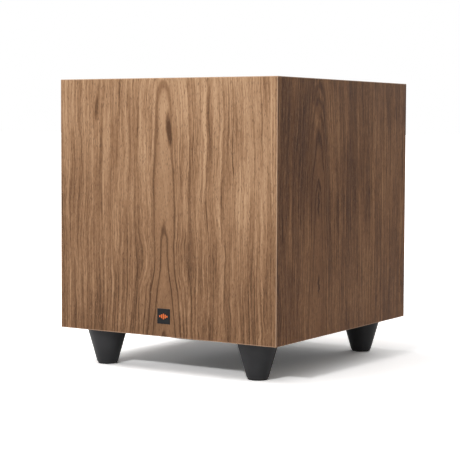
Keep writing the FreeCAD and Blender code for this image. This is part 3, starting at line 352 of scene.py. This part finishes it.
def grain(g, u, v, ring, waved, seed, fine):
    """The wood's tone (0 dark, 1 pale) with the bands, threads and fibre that it is made of."""
    outer = g.span(ring, 30.0, 35.0)
    side = g.add(g.times(v, 1 / 420), g.times(g.span(waved, -30.0, 30.0), 3.0))
    bands = g.swing(g.vector(g.times(ring, 1 / 9), side, seed), detail=3.0, roughness=0.6)
    bands = g.times(bands, g.span(outer, 0.0, 1.0, 0.35, 1.0))
    contour = g.swing(g.vector(g.times(ring, 1 / 5.2), side, seed + 7))
    ridge = g.times(g.span(g.size(contour), 0.055, 0.0), outer)
    broken = streaked(g, u, v, (9, 60), seed + 2)
    ridge = g.times(ridge, g.span(broken, -0.20, 0.10, 0.45, 1.0))
    lines = g.math("MAXIMUM", g.times(ridge, 1 - 0.5 * fine), arch_lines(g, ring))
    along = g.add(side, g.times(v, 1 / 160))
    threads = g.swing(g.vector(g.times(ring, 1 / 1.9), along, seed), detail=3.0)
    threads = g.times(threads, g.span(outer, 0.0, 1.0, 0.30, 1.0))
    fibre = streaked(g, waved, v, (1.25, 11), seed, detail=3.0, roughness=0.75)
    fibre = g.times(fibre, g.span(outer, 0.0, 1.0, 0.55, 0.95))
    patch = streaked(g, u, v, (75, 130), seed + 9)
    hair = g.span(streaked(g, waved, v, (1.15, 190), seed + 4, roughness=0.6), 0.03, 0.16)
    hair = g.times(hair, g.span(outer, 0.0, 1.0, 0.4, 1.0))

    tone = g.add(g.times(bands, 1.20 - 0.55 * fine), g.times(threads, 1.15))
    tone = g.minus(tone, g.times(hair, 0.30 * fine))
    tone = g.add(tone, g.add(fibre, g.times(patch, 0.55)))
    tone = g.minus(g.add(tone, 0.51), g.times(lines, 0.52 - 0.30 * fine))
    return tone, bands, threads, fibre


def specks(g, waved, v, size, seed, far, pick):
    """Short strokes along the grain, in some of the cells of a grid of a size in mm."""
    place, chance = g.cells(g.vector(g.times(waved, 1 / size[0]), g.times(v, 1 / size[1]), seed))
    return g.times(g.span(place, *far), g.span(chance, *pick))


def with_bare_board(g, xyz, colour, outside):
    """Only the outer face is veneer: the board shows inside and along the lower edge."""
    axis, sign, place = outside
    inward = g.times(g.minus(place * PER_METRE, xyz[axis]), sign)
    board = g.mix(g.noise(g.coordinates, scale=900.0), RAW_BOARD, PALE_BOARD)
    return g.mix(g.span(inward, 0.9, 1.0), colour, board)


def walnut(name, across, along, outside, pith, depth, narrow, seed, details=None, fine=0.6, hue=WHITE):
    """Flat-cut walnut. The growth rings are cones round a pith line, and the veneer is a slice beside it.

    across and along are the axes (0, 1, 2) across and along the grain. outside is (axis, sign, place) of
    the face. pith is where the figure's middle lies across the grain, in mm. depth is how far the slice is
    from the pith, and narrow how steep the rings stand, both as listed curves from the low end of the
    grain to the high end: each arch of the figure has its tip where the depth passes a ring. fine (0 to 1)
    trades broad bands for hair lines, and hue tints the wood."""
    g = Graph(name)
    xyz = g.axes()
    u = g.minus(xyz[across], pith)
    v = g.minus(xyz[along], (BASE_Z if along == 2 else FRONT_Y) * PER_METRE)
    ring, waved = ring_field(g, u, v, depth, narrow, seed)
    tone, bands, threads, fibre = grain(g, u, v, ring, waved, seed, fine)
    if details:
        tone = details(g, u, v, tone)
    colour = g.ramp(tone, [(0.0, DARK_WALNUT), (0.5, MID_WALNUT), (1.0, PALE_WALNUT)])
    colour = g.mix(1.0, colour, hue, "MULTIPLY")

    pores = specks(g, waved, v, (1.3, 7.0), seed, (0.42, 0.14), (0.45, 0.55))
    colour = g.mix(g.times(pores, 0.62), colour, PORE_COLOUR)
    rays = specks(g, waved, v, (1.6, 5.0), seed + 3, (0.40, 0.10), (0.55, 0.7))
    colour = g.mix(g.times(rays, 0.14), colour, RAY_COLOUR)

    # the veneer is painted paler along the cabinet's edges: partly rubbed wear, partly a painted highlight
    # on the arris
    rim = g.math("MINIMUM", *[edge_gap(g, xyz, axis) for axis in (across, along)])
    colour = g.mix(g.span(rim, 1.6, 0.4, 0.0, 0.45), colour, WORN_EDGE_AND_HIGHLIGHT)
    colour = with_bare_board(g, xyz, colour, outside)

    height = g.add(g.times(threads, 0.5), g.times(fibre, 0.6))
    height = g.minus(height, g.times(pores, 0.8))
    rough = g.add(g.span(bands, -0.3, 0.3, 0.44, 0.56), g.times(pores, 0.15))
    normal = g.bump(height, 0.14, 0.6)
    return g.surface(colour, roughness=rough, normal=normal, specular_ior_level=0.18)


def darker(g, tone, u, v, place, reach, depth):
    """Lowers the tone round a place on the veneer, or raises it where the depth is below zero."""
    return g.minus(tone, g.times(spot(g, u, v, place, reach), depth))


def wavering(g, u, v, length, seed, width):
    """The place across the grain, wandering along it."""
    return g.add(u, g.times(g.swing(g.vector(0.0, g.times(v, 1 / length), seed)), width))


def front_figure(g, u, v, tone):
    """The dark streak beside the top arch, a small knot at the top left, a pale wavy line at the right with
    a dark one beside it, a pale heart, painted light that is darker low down and paler high up, and a
    little darker at the left."""
    bent = wavering(g, u, v, 40, 2.0, 10.0)
    tone = darker(g, tone, bent, v, (7.5, 284.0), (6.0, 33.0), 0.85)
    tone = darker(g, tone, bent, v, (-114.0, 312.0), (4.5, 27.0), 0.46)
    tone = darker(g, tone, bent, v, (66.0, 280.0), (4.4, 120.0), -0.44)
    tone = darker(g, tone, bent, v, (72.5, 285.0), (2.2, 105.0), 0.30)
    # painted light: the tone is darker low down and paler high up, as the key light falls off down the
    # front
    tone = g.add(tone, g.span(v, 0.0, GRAIN_LENGTH, -0.09, 0.31, smooth=False))
    tone = g.add(tone, g.span(u, -177.0, 60.0, -0.09, -0.06))
    return darker(g, tone, u, v, (1.0, 190.0), (19.0, 175.0), -0.10)


def side_figure(g, u, v, tone):
    """More contrast than the front's, with painted shade that darkens it towards the front edge, a small
    eye half-way down and a dark fleck low down."""
    tone = g.add(g.times(g.add(tone, -0.5), 1.45), 0.53)
    # painted shade: darker towards the front edge of the side
    tone = g.minus(tone, g.span(u, -112.0, 20.0, 0.16, 0.0))
    bent = wavering(g, u, v, 9, 4.0, 9.0)
    tone = darker(g, tone, bent, v, (0.0, 183.0), (3.2, 24.0), 0.80)
    return darker(g, tone, bent, v, (2.0, 72.0), (3.4, 18.0), 0.90)


def paint(name, *nodes):
    """Gives CAD nodes a finished material."""
    material = bpy.data.materials[name]
    for node in nodes:
        mesh = NODES[node].data
        mesh.materials.clear()
        mesh.materials.append(material)


def make_veneers():
    """A figure for each face: the front's and the right side's are set one by one, the others are plainer.
    """
    straight = [(0.0, 1.0), (1.0, 1.0)]
    front_depth = [(0.0, 18.0), (0.17, 21.5), (0.28, 23.1), (0.37, 23.6), (0.41, 24.6), (0.57, 26.0)]
    front_depth += [(0.74, 28.6), (0.91, 29.3), (0.975, 31.0), (1.0, 33.0)]
    front_narrow = [(0.0, 0.84), (0.17, 1.0), (0.33, 1.33), (0.41, 1.12), (0.6, 1.0), (1.0, 1.0)]
    side_depth = [(0.0, 18.5), (0.3, 20.0), (0.51, 22.5), (0.60, 24.5), (0.67, 28.0), (0.775, 31.0)]
    side_depth += [(1.0, 41.0)]
    side_narrow = [(0.0, 1.0), (0.45, 1.1), (0.74, 1.0), (1.0, 1.0)]
    steady = [(0.0, 12.0), (0.45, 24.5), (0.8, 31.0), (1.0, 36.0)]
    side_pith = FRONT_Y * PER_METRE + 112
    walnut("veneer_front", 0, 2, (1, -1, -FRONT_Y), 0.0, front_depth, front_narrow, 1.3,
           front_figure, hue=(0.98, 1.04, 1.09))
    # painted shade: the right side's hue makes its veneer darker and warmer than the other faces'
    walnut("veneer_right", 1, 2, (0, 1, RIGHT_X), side_pith, side_depth, side_narrow, 27.7,
           side_figure, fine=1.0, hue=(0.85, 0.745, 0.62))
    walnut("veneer_rear", 0, 2, (1, 1, REAR_Y), -38.0, steady, straight, 14.2)
    walnut("veneer_left", 1, 2, (0, -1, -LEFT_X), 45.0, steady, straight, 33.1)
    walnut("veneer_top", 0, 1, (2, 1, TOP_Z), -20.0, steady, straight, 41.9)
    for side in ("front", "rear", "right", "left", "top"):
        paint("veneer_" + side, side + "_panel")


# ---------------------------------------------------------------- other finishes
# the amplifier plate's printed marks, in degrees and mm
TICK_STEP = 30
TICK_RADIUS = 12.7
HALF_TRAVEL = 2.7
DOT_ASIDE = 9.0


def moulded(name, colour, rough=0.5, grain=0.05, scale=1500.0, shine=0.5):
    """Fine-textured moulded plastic or rubber with slight unevenness of colour and gloss."""
    g = Graph(name)
    fine = g.noise(g.coordinates, scale=scale, detail=3.0)
    broad = g.noise(g.coordinates, scale=45.0, detail=2.0)
    base = g.tint(colour, g.span(broad, 0.3, 0.7, 0.86, 1.12))
    roughness = g.add(g.span(broad, 0.3, 0.7, rough - 0.05, rough + 0.05), g.times(g.add(fine, -0.5), 0.1))
    return g.surface(base, roughness=roughness, normal=g.bump(fine, grain, 0.6), specular_ior_level=shine)


def metal(name, colour, rough=0.35, brushed=None, metallic=1.0):
    """Plated, anodised or brushed metal. brushed is the axis along which it was brushed."""
    g = Graph(name)
    xyz = g.axes()
    scales = [0.9, 0.9, 0.9]
    if brushed is not None:
        scales = [5.0, 5.0, 5.0]
        scales[brushed] = 0.06
    stretched = g.vector(*[g.times(c, s) for c, s in zip(xyz, scales)])
    marks = g.noise(stretched, detail=3.0, roughness=0.6)
    cloud = g.swing(g.coordinates, scale=60.0, detail=2.0)
    base = g.tint(colour, g.span(cloud, -0.2, 0.2, 0.88, 1.08))
    roughness = g.add(g.span(marks, 0.3, 0.7, rough - 0.07, rough + 0.07), g.times(cloud, 0.08))
    return g.surface(base, roughness=roughness, metal=metallic, normal=g.bump(marks, 0.02, 0.5))


def powder_coat(name, colour, rough=0.55, orange_peel=0.05, scale=700.0):
    """Sprayed and baked paint with a fine orange peel and a little dust."""
    g = Graph(name)
    peel = g.noise(g.coordinates, scale=scale, detail=2.0)
    dust = g.noise(g.coordinates, scale=60.0, detail=3.0)
    base = g.tint(colour, g.span(dust, 0.3, 0.7, 0.9, 1.15))
    roughness = g.span(dust, 0.3, 0.7, rough - 0.04, rough + 0.06)
    return g.surface(base, roughness=roughness, normal=g.bump(peel, orange_peel))


def boxed(g, value, place, half, soft=0.08):
    """1 where a value is within half of a place."""
    return g.span(g.size(g.add(value, -place)), half, half - soft)


def ring_of_ticks(g, x, z, knob):
    """A printed scale round a knob: eleven ticks over 300 degrees."""
    place = middle(knob) * PER_METRE
    dx, dz = g.minus(x, place.x), g.minus(z, place.z)
    radius = g.hypot(dx, dz)
    turn = g.times(g.math("ARCTAN2", dx, dz), 180 / math.pi)
    off = g.size(g.add(g.math("FRACT", g.add(g.times(turn, 1 / TICK_STEP), 0.5)), -0.5))
    tick = g.span(g.times(g.times(off, radius), math.radians(TICK_STEP)), 0.32, 0.22)
    sweep = g.span(g.size(turn), 156.0, 155.0)
    return g.times(g.times(tick, sweep), boxed(g, radius, TICK_RADIUS, 1.1))


def outline_box(g, x, z, low, high, aside, above):
    """A printed hairline round a group of sockets or switches, some mm aside of it and above it."""
    across = (low.x * PER_METRE - aside, high.x * PER_METRE + aside)
    upward = (low.z * PER_METRE - above, high.z * PER_METRE + above)
    gaps = []
    for value, (start, end) in ((x, across), (z, upward)):
        gaps.append(g.add(g.size(g.add(value, -(start + end) / 2)), -(end - start) / 2))
    return boxed(g, g.math("MAXIMUM", *gaps), 0.0, 0.28)


def switch_dots(g, x, z, slider):
    """A ring on the low-x side of a slide switch and a dot on its high-x side."""
    place = middle(slider) * PER_METRE
    marks = []
    for way in (-1, 1):
        dx = g.add(x, -(place.x - HALF_TRAVEL + way * DOT_ASIDE))
        far = g.hypot(dx, g.add(z, -place.z))
        marks.append(g.span(far, 0.75, 0.6) if way > 0 else boxed(g, far, 0.8, 0.22))
    return marks


def make_amp_plate():
    """Fine powder coat with pale printed scales and group lines, and no lettering."""
    g = Graph("amp_plate_paint")
    x, y, z = g.axes()
    peel = g.noise(g.coordinates, scale=1100.0, detail=2.0)
    dust = g.noise(g.coordinates, scale=50.0, detail=3.0)
    sockets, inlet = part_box("phono_barrels"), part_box("mains_inlet")
    mains_end = Vector((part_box("power_switch_frame")[1].x, 0, inlet[1].z))
    marks = [ring_of_ticks(g, x, z, knob) for knob in KNOBS]
    marks.append(outline_box(g, x, z, sockets[0], sockets[1], 5.0, 9.0))
    marks.append(outline_box(g, x, z, inlet[0], mains_end, 5.0, 5.0))
    for slider in ("phase_slider", "mode_slider"):
        marks += switch_dots(g, x, z, slider)
    ink = marks[0]
    for mark in marks[1:]:
        ink = g.math("MAXIMUM", ink, mark)
    outer_face = PLATE[1].y * PER_METRE
    ink = g.times(ink, g.span(y, outer_face - 0.3, outer_face - 0.1))
    paint_colour = g.tint((0.030, 0.030, 0.032), g.span(dust, 0.3, 0.7, 0.9, 1.15))
    base = g.mix(g.times(ink, 0.9), paint_colour, (0.62, 0.62, 0.60))
    g.surface(base, roughness=g.span(dust, 0.3, 0.7, 0.46, 0.58), normal=g.bump(peel, 0.05))


def make_knobs():
    """Satin knobs, each with a white line in the groove of its cap."""
    for knob in KNOBS:
        g = Graph(knob + "_plastic")
        x, y, z = g.axes()
        centre = middle(knob) * PER_METRE
        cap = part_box(knob)[1].y * PER_METRE
        fine = g.noise(g.coordinates, scale=2200.0, detail=2.0)
        broad = g.noise(g.coordinates, scale=120.0, detail=2.0)
        line = g.times(boxed(g, x, centre.x, 0.62), g.span(z, centre.z, centre.z + 1))
        line = g.times(line, g.span(y, cap - 0.75, cap - 0.7))
        line = g.times(line, g.span(y, cap - 0.1, cap - 0.2))
        body = g.tint((0.022, 0.022, 0.023), g.span(broad, 0.3, 0.7, 0.85, 1.2))
        base = g.mix(line, body, (0.85, 0.85, 0.82))
        g.surface(base, roughness=g.span(broad, 0.3, 0.7, 0.32, 0.46), normal=g.bump(fine, 0.03))
        paint(knob + "_plastic", knob)


def make_circuit_board():
    """Green solder mask with small paler dots, like pads and vias."""
    g = Graph("circuit_board")
    dots = g.cells(g.coordinates, scale=260.0)[0]
    green = g.mix(g.span(dots, 0.02, 0.05), (0.05, 0.24, 0.10), (0.015, 0.115, 0.045))
    g.surface(green, roughness=g.span(dots, 0.0, 0.3, 0.28, 0.42), normal=g.bump(dots, 0.03))


def make_fuse_glass():
    """Pale, glossy glass."""
    g = Graph("fuse_glass")
    cloud = g.noise(g.coordinates, scale=300.0)
    g.surface(g.tint((0.80, 0.82, 0.82), g.span(cloud, 0.2, 0.8, 0.9, 1.0)), roughness=0.12)


def make_green_lens():
    """The status light's lens, faintly lit."""
    g = Graph("green_lens")
    cloud = g.noise(g.coordinates, scale=500.0)
    lens = g.tint((0.06, 0.55, 0.12), g.span(cloud, 0.2, 0.8, 0.85, 1.1))
    g.surface(lens, roughness=0.18, emission_color=(0.1, 0.9, 0.2, 1), emission_strength=0.15)


def make_pulp_cone():
    """Pressed paper pulp with faint rings round the woofer's axis."""
    g = Graph("pulp_cone")
    x, y = g.axes()[:2]
    centre = middle("woofer_cone") * PER_METRE
    radius = g.hypot(g.minus(x, centre.x), g.minus(y, centre.y))
    fibres = g.noise(g.coordinates, scale=380.0, detail=4.0, roughness=0.7, distortion=0.6)
    rings = g.math("SINE", g.times(radius, 2.6))
    base = g.mix(g.span(fibres, 0.35, 0.7), (0.016, 0.016, 0.017), (0.045, 0.044, 0.043))
    relief = g.bump(fibres, 0.16, 0.7, g.bump(rings, 0.05, 0.5))
    g.surface(base, roughness=g.span(fibres, 0.3, 0.7, 0.55, 0.78), normal=relief)


def make_mouldings():
    """Plastics, rubbers, raw board and ferrite."""
    moulded("foot_plastic", (0.024, 0.024, 0.026), rough=0.42, grain=0.03, scale=2200.0, shine=0.35)
    moulded("pad_rubber", (0.018, 0.018, 0.018), rough=0.75, grain=0.08)
    moulded("black_mdf", (0.020, 0.020, 0.021), rough=0.72, grain=0.10, scale=700.0)
    moulded("raw_mdf", (0.36, 0.25, 0.15), rough=0.85, grain=0.10, scale=900.0)
    moulded("badge_plastic", (0.009, 0.010, 0.011), rough=0.34, grain=0.01, shine=0.25)
    moulded("badge_enamel", (0.66, 0.135, 0.022), rough=0.38, grain=0.01)
    moulded("port_plastic", (0.022, 0.022, 0.024), rough=0.38, grain=0.03)
    moulded("switch_plastic", (0.016, 0.016, 0.017), rough=0.33, grain=0.02)
    moulded("terminal_plastic", (0.030, 0.028, 0.026), rough=0.50)
    moulded("phono_plastic", (0.72, 0.71, 0.68), rough=0.42, grain=0.02)
    moulded("foam_gasket", (0.030, 0.030, 0.031), rough=0.95, grain=0.35, scale=420.0)
    moulded("lead_plastic", (0.36, 0.020, 0.018), rough=0.42, grain=0.02)
    moulded("component_sleeve", (0.035, 0.045, 0.080), rough=0.30, grain=0.01)
    moulded("ferrite", (0.050, 0.050, 0.054), rough=0.62, grain=0.12, scale=600.0)


def make_coats_and_metals():
    """Painted, plated, anodised and bare metal."""
    powder_coat("frame_paint", (0.030, 0.030, 0.031), rough=0.48, orange_peel=0.08, scale=520.0)
    powder_coat("screw_black", (0.035, 0.035, 0.037), rough=0.34, orange_peel=0.01)
    metal("zinc_plate", (0.62, 0.62, 0.60), rough=0.36, brushed=0)
    metal("anodised_black", (0.030, 0.030, 0.032), rough=0.38, brushed=2, metallic=0.6)
    metal("nickel", (0.74, 0.71, 0.66), rough=0.18)
    metal("gold_plate", (0.90, 0.62, 0.25), rough=0.20)
    metal("copper_winding", (0.72, 0.30, 0.14), rough=0.30, brushed=0)
    metal("copper_braid", (0.70, 0.36, 0.18), rough=0.40)


FINISHES = {
    "foot_plastic": ["foot_front_left", "foot_front_right", "foot_rear_left", "foot_rear_right"],
    "pad_rubber": ["foot_pads", "woofer_gasket", "cable_grommet", "woofer_surround", "woofer_spider"],
    "black_mdf": ["bottom_panel"],
    "raw_mdf": ["window_brace", "corner_blocks", "damping_wadding"],
    "badge_plastic": ["badge_plate"],
    "badge_enamel": ["badge_mark"],
    "port_plastic": ["port_flare", "port_tube"],
    "switch_plastic": ["phase_slider", "mode_slider", "slide_switch_bodies", "power_rocker",
                       "power_switch_frame", "mains_inlet", "fuse_drawer"],
    "terminal_plastic": ["woofer_terminals"],
    "phono_plastic": ["phono_insulators"],
    "foam_gasket": ["amp_gasket"],
    "lead_plastic": ["speaker_leads"],
    "component_sleeve": ["filter_capacitors", "power_transformer", "output_chokes"],
    "ferrite": ["ferrite_magnet"],
    "amp_plate_paint": ["amp_plate"],
    "frame_paint": ["woofer_frame"],
    "screw_black": ["foot_bolts", "amp_screws", "woofer_screws"],
    "zinc_plate": ["foot_inserts", "amp_chassis", "magnet_front_plate", "magnet_yoke", "potentiometers"],
    "anodised_black": ["heatsink"],
    "nickel": ["inlet_pins"],
    "gold_plate": ["phono_barrels"],
    "copper_winding": ["voice_coil"],
    "copper_braid": ["tinsel_leads"],
    "circuit_board": ["main_board", "control_boards"],
    "fuse_glass": ["fuse"],
    "green_lens": ["status_light"],
    "pulp_cone": ["woofer_cone", "woofer_dust_cap"],
}


def make_finishes():
    make_mouldings()
    make_amp_plate()
    make_knobs()
    make_coats_and_metals()
    make_circuit_board()
    make_fuse_glass()
    make_green_lens()
    make_pulp_cone()
    for material, nodes in FINISHES.items():
        paint(material, *nodes)


# ---------------------------------------------------------------- surround, spider and tinsel leads
def lathe(name, profile, centre, turns=160):
    """Spins a closed outline of (radius, height) in mm round the woofer's axis."""
    verts = []
    for k in range(turns):
        angle = 2 * math.pi * k / turns
        verts += [
            (centre.x + r * MM * math.cos(angle), centre.y + r * MM * math.sin(angle), centre.z + z * MM)
            for r, z in profile
        ]
    n = len(profile)
    faces = [
        (k * n + j, (k + 1) % turns * n + j, (k + 1) % turns * n + (j + 1) % n, k * n + (j + 1) % n)
        for k in range(turns) for j in range(n)
    ]
    return new_piece(name, verts, faces)


def new_piece(name, verts, faces):
    """A smooth-shaded mesh object with its faces turned outwards."""
    mesh = bpy.data.meshes.new(name)
    mesh.from_pydata([tuple(v) for v in verts], [], faces)
    mesh.update()
    bm = bmesh.new()
    bm.from_mesh(mesh)
    bmesh.ops.recalc_face_normals(bm, faces=bm.faces)
    bm.to_mesh(mesh)
    bm.free()
    for polygon in mesh.polygons:
        polygon.use_smooth = True
    piece = bpy.data.objects.new(name, mesh)
    bpy.context.scene.collection.objects.link(piece)
    return piece


def hang_between(piece):
    """Bakes the piece's placement into its mesh."""
    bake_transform(piece)


def woofer_axis():
    """On the woofer's axis, level with the cabinet's underside."""
    place = middle("woofer_frame")
    return Vector((place.x, place.y, BASE_Z))


def half_circle(radius, middle_r, height, start, end, steps=20):
    """Points (radius, height) of an arc in mm between two angles in degrees."""
    turns = [math.radians(start + (end - start) * k / steps) for k in range(steps + 1)]
    return [(middle_r + radius * math.cos(t), height + radius * math.sin(t)) for t in turns]


def make_surround():
    """A thin rubber half roll between a flat lip on the cone and a flat rim on the frame."""
    centre = woofer_axis()
    roll, skin, roll_middle, rim, lip = 9.0, 1.2, 95.0, 110.0, 80.2
    inner = [(rim, -0.1)] + half_circle(roll, roll_middle, 0, 0, -180, 28) + [(lip, -0.1)]
    outer = [(lip, -0.7), (lip + 0.7, -1.2), (84.2, -1.2), (85.0, -1.9), (85.8, -2.4)]
    outer += half_circle(roll + skin, roll_middle, 0, -166, -14, 28)
    outer += [(105.4, -2.2), (106.4, -1.2), (rim, -1.2)]
    piece = lathe("surround_rubber", inner + outer, centre)
    g = Graph("surround_rubber")
    dust = g.noise(g.coordinates, scale=140.0, detail=4.0, roughness=0.7)
    fine = g.noise(g.coordinates, scale=2500.0, detail=2.0)
    base = g.tint((0.026, 0.026, 0.027), g.span(dust, 0.35, 0.75, 0.85, 1.7))
    roughness = g.span(dust, 0.3, 0.7, 0.42, 0.6)
    g.surface(base, roughness=roughness, normal=g.bump(fine, 0.03, 0.5), sheen_weight=0.15)
    piece.data.materials.append(g.material)
    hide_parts("woofer_surround")
    hang_between(piece)


def make_spider():
    """The spider: corrugated resin-dipped cloth between the frame and the voice coil."""
    centre = woofer_axis()
    level, pitch, depth, start, end = 53.7, 10.0, 2.4, 29.0, 69.0
    radii = [start + (end - start) * k / 160 for k in range(161)]
    wave = [(r, level + depth * math.sin(2 * math.pi * (r - start) / pitch)) for r in radii]
    top = [(26.0, level + 0.3)] + [(r, z + 0.3) for r, z in wave] + [(74.8, level + 0.3)]
    bottom = [(r, z - 0.6) for r, z in reversed(top)]
    piece = lathe("spider_cloth", top + bottom, centre)
    g = Graph("spider_weave")
    x, y = g.axes()[:2]
    weave = g.times(g.math("SINE", g.times(x, 7.0)), g.math("SINE", g.times(y, 7.0)))
    stain = g.noise(g.coordinates, scale=70.0, detail=3.0)
    base = g.mix(g.span(weave, -1.0, 1.0), (0.30, 0.18, 0.045), (0.62, 0.42, 0.14))
    g.surface(g.tint(base, g.span(stain, 0.3, 0.7, 0.75, 1.15)), roughness=0.8, normal=g.bump(weave, 0.08))
    piece.data.materials.append(g.material)
    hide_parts("woofer_spider")
    hang_between(piece)


def make_tinsel_leads():
    """Braided copper leads, on the route that the frame gives them."""
    source = NODES["tinsel_leads"]
    mesh = source.data.copy()
    mesh.transform(source.matrix_world)
    piece = bpy.data.objects.new("tinsel_braid", mesh)
    bpy.context.scene.collection.objects.link(piece)
    g = Graph("tinsel_braid")
    x, y, z = g.axes()
    right_hand = g.math("SINE", g.times(g.add(g.add(x, z), y), 5.5))
    left_hand = g.math("SINE", g.times(g.add(g.minus(x, z), y), 5.5))
    braid = g.math("MAXIMUM", right_hand, left_hand)
    base = g.mix(g.span(braid, 0.0, 1.0), (0.30, 0.13, 0.06), (0.80, 0.45, 0.24))
    g.surface(base, roughness=g.span(braid, 0.0, 1.0, 0.5, 0.32), metal=0.9, normal=g.bump(braid, 0.12))
    mesh.materials.clear()
    mesh.materials.append(g.material)
    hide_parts("tinsel_leads")
    hang_between(piece)


# ---------------------------------------------------------------- wadding
BATT_CELLS = 40
QUILT_TURN = 1.5 * math.pi
RAGGED = 0.012


def batts_in(node):
    """The lowest and highest corner of each separate solid in a node."""
    bm = bmesh.new()
    bm.from_mesh(NODES[node].data)
    bmesh.ops.remove_doubles(bm, verts=bm.verts, dist=0.05 * MM)
    boxes = []
    waiting = set(bm.verts)
    while waiting:
        island = [waiting.pop()]
        for vertex in island:
            for edge in vertex.link_edges:
                other = edge.other_vert(vertex)
                if other in waiting:
                    waiting.discard(other)
                    island.append(other)
        corners = [[f(v.co[axis] for v in island) for axis in range(3)] for f in (min, max)]
        boxes.append((Vector(corners[0]), Vector(corners[1])))
    bm.free()
    return sorted(boxes, key=lambda b: tuple(b[0]))


def batt_skin(low, high):
    """The points of a batt's two faces, row by row. Each face is full in the middle of each quilted square,
    thin at the batt's edges, and ragged."""
    size = high - low
    thin = min(range(3), key=lambda axis: size[axis])
    a, b = [axis for axis in range(3) if axis != thin]
    points = []
    for side in (-1, 1):
        for i in range(BATT_CELLS + 1):
            for j in range(BATT_CELLS + 1):
                s = 2 * i / BATT_CELLS - 1
                t = 2 * j / BATT_CELLS - 1
                edge = (1 - abs(s) ** 6) ** 0.4 * (1 - abs(t) ** 6) ** 0.4
                quilt = 0.80 + 0.20 * abs(math.sin(QUILT_TURN * (s + 1)) * math.sin(QUILT_TURN * (t + 1)))
                pull = 1 - 0.03 * (1 - abs(s)) * abs(t) - 0.02
                place = Vector((0, 0, 0))
                place[a] = (low[a] + high[a]) / 2 + s * size[a] / 2 * (pull - random.uniform(0, RAGGED))
                place[b] = (low[b] + high[b]) / 2 + t * size[b] / 2 * (0.98 - random.uniform(0, RAGGED))
                swell = max(edge * quilt - random.uniform(0, 0.07), 0.06)
                place[thin] = (low[thin] + high[thin]) / 2 + side * size[thin] / 2 * swell
                points.append(place)
    return points


def batt_faces():
    """The squares of both faces of a batt, then those that close its four edges."""
    row = BATT_CELLS + 1
    n = row * row
    faces = []
    for i in range(BATT_CELLS):
        for j in range(BATT_CELLS):
            k = i * row + j
            faces.append((k, k + 1, k + row + 1, k + row))
            faces.append((n + k, n + k + row, n + k + row + 1, n + k + 1))
    for i in range(BATT_CELLS):
        for j in (0, BATT_CELLS):
            k = i * row + j
            faces.append((k, k + row, n + k + row, n + k))
    for j in range(BATT_CELLS):
        for i in (0, BATT_CELLS):
            k = i * row + j
            faces.append((k, n + k, n + k + 1, k + 1))
    return faces


def make_batt(name, low, high, material):
    """A soft quilted batt in the space between two corners."""
    piece = new_piece(name, batt_skin(low, high), batt_faces())
    smooth = piece.modifiers.new("soften", "SUBSURF")
    smooth.levels = smooth.render_levels = 1
    piece.data.materials.append(material)
    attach(piece, "cabinet")
    return piece


def make_wadding():
    """One batt of polyester fibre for each solid of the wadding's node."""
    g = Graph("polyester_wadding")
    tangle = g.noise(g.coordinates, scale=260.0, detail=6.0, roughness=0.75, distortion=1.5)
    tufts = g.noise(g.coordinates, scale=45.0, detail=3.0)
    base = g.mix(g.span(tangle, 0.35, 0.7), (0.52, 0.51, 0.47), (0.86, 0.85, 0.81))
    base = g.tint(base, g.span(tufts, 0.3, 0.7, 0.88, 1.04))
    g.surface(base, roughness=0.95, sheen_weight=0.4, normal=g.bump(tangle, 1.2, 0.8))
    for k, (low, high) in enumerate(batts_in("damping_wadding")):
        piece = make_batt(f"wadding_batt_{k + 1}", low, high, g.material)
        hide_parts("damping_wadding")


make_camera()
make_studio()
make_floor()
make_veneers()
make_finishes()
make_surround()
make_spider()
make_tinsel_leads()
make_wadding()
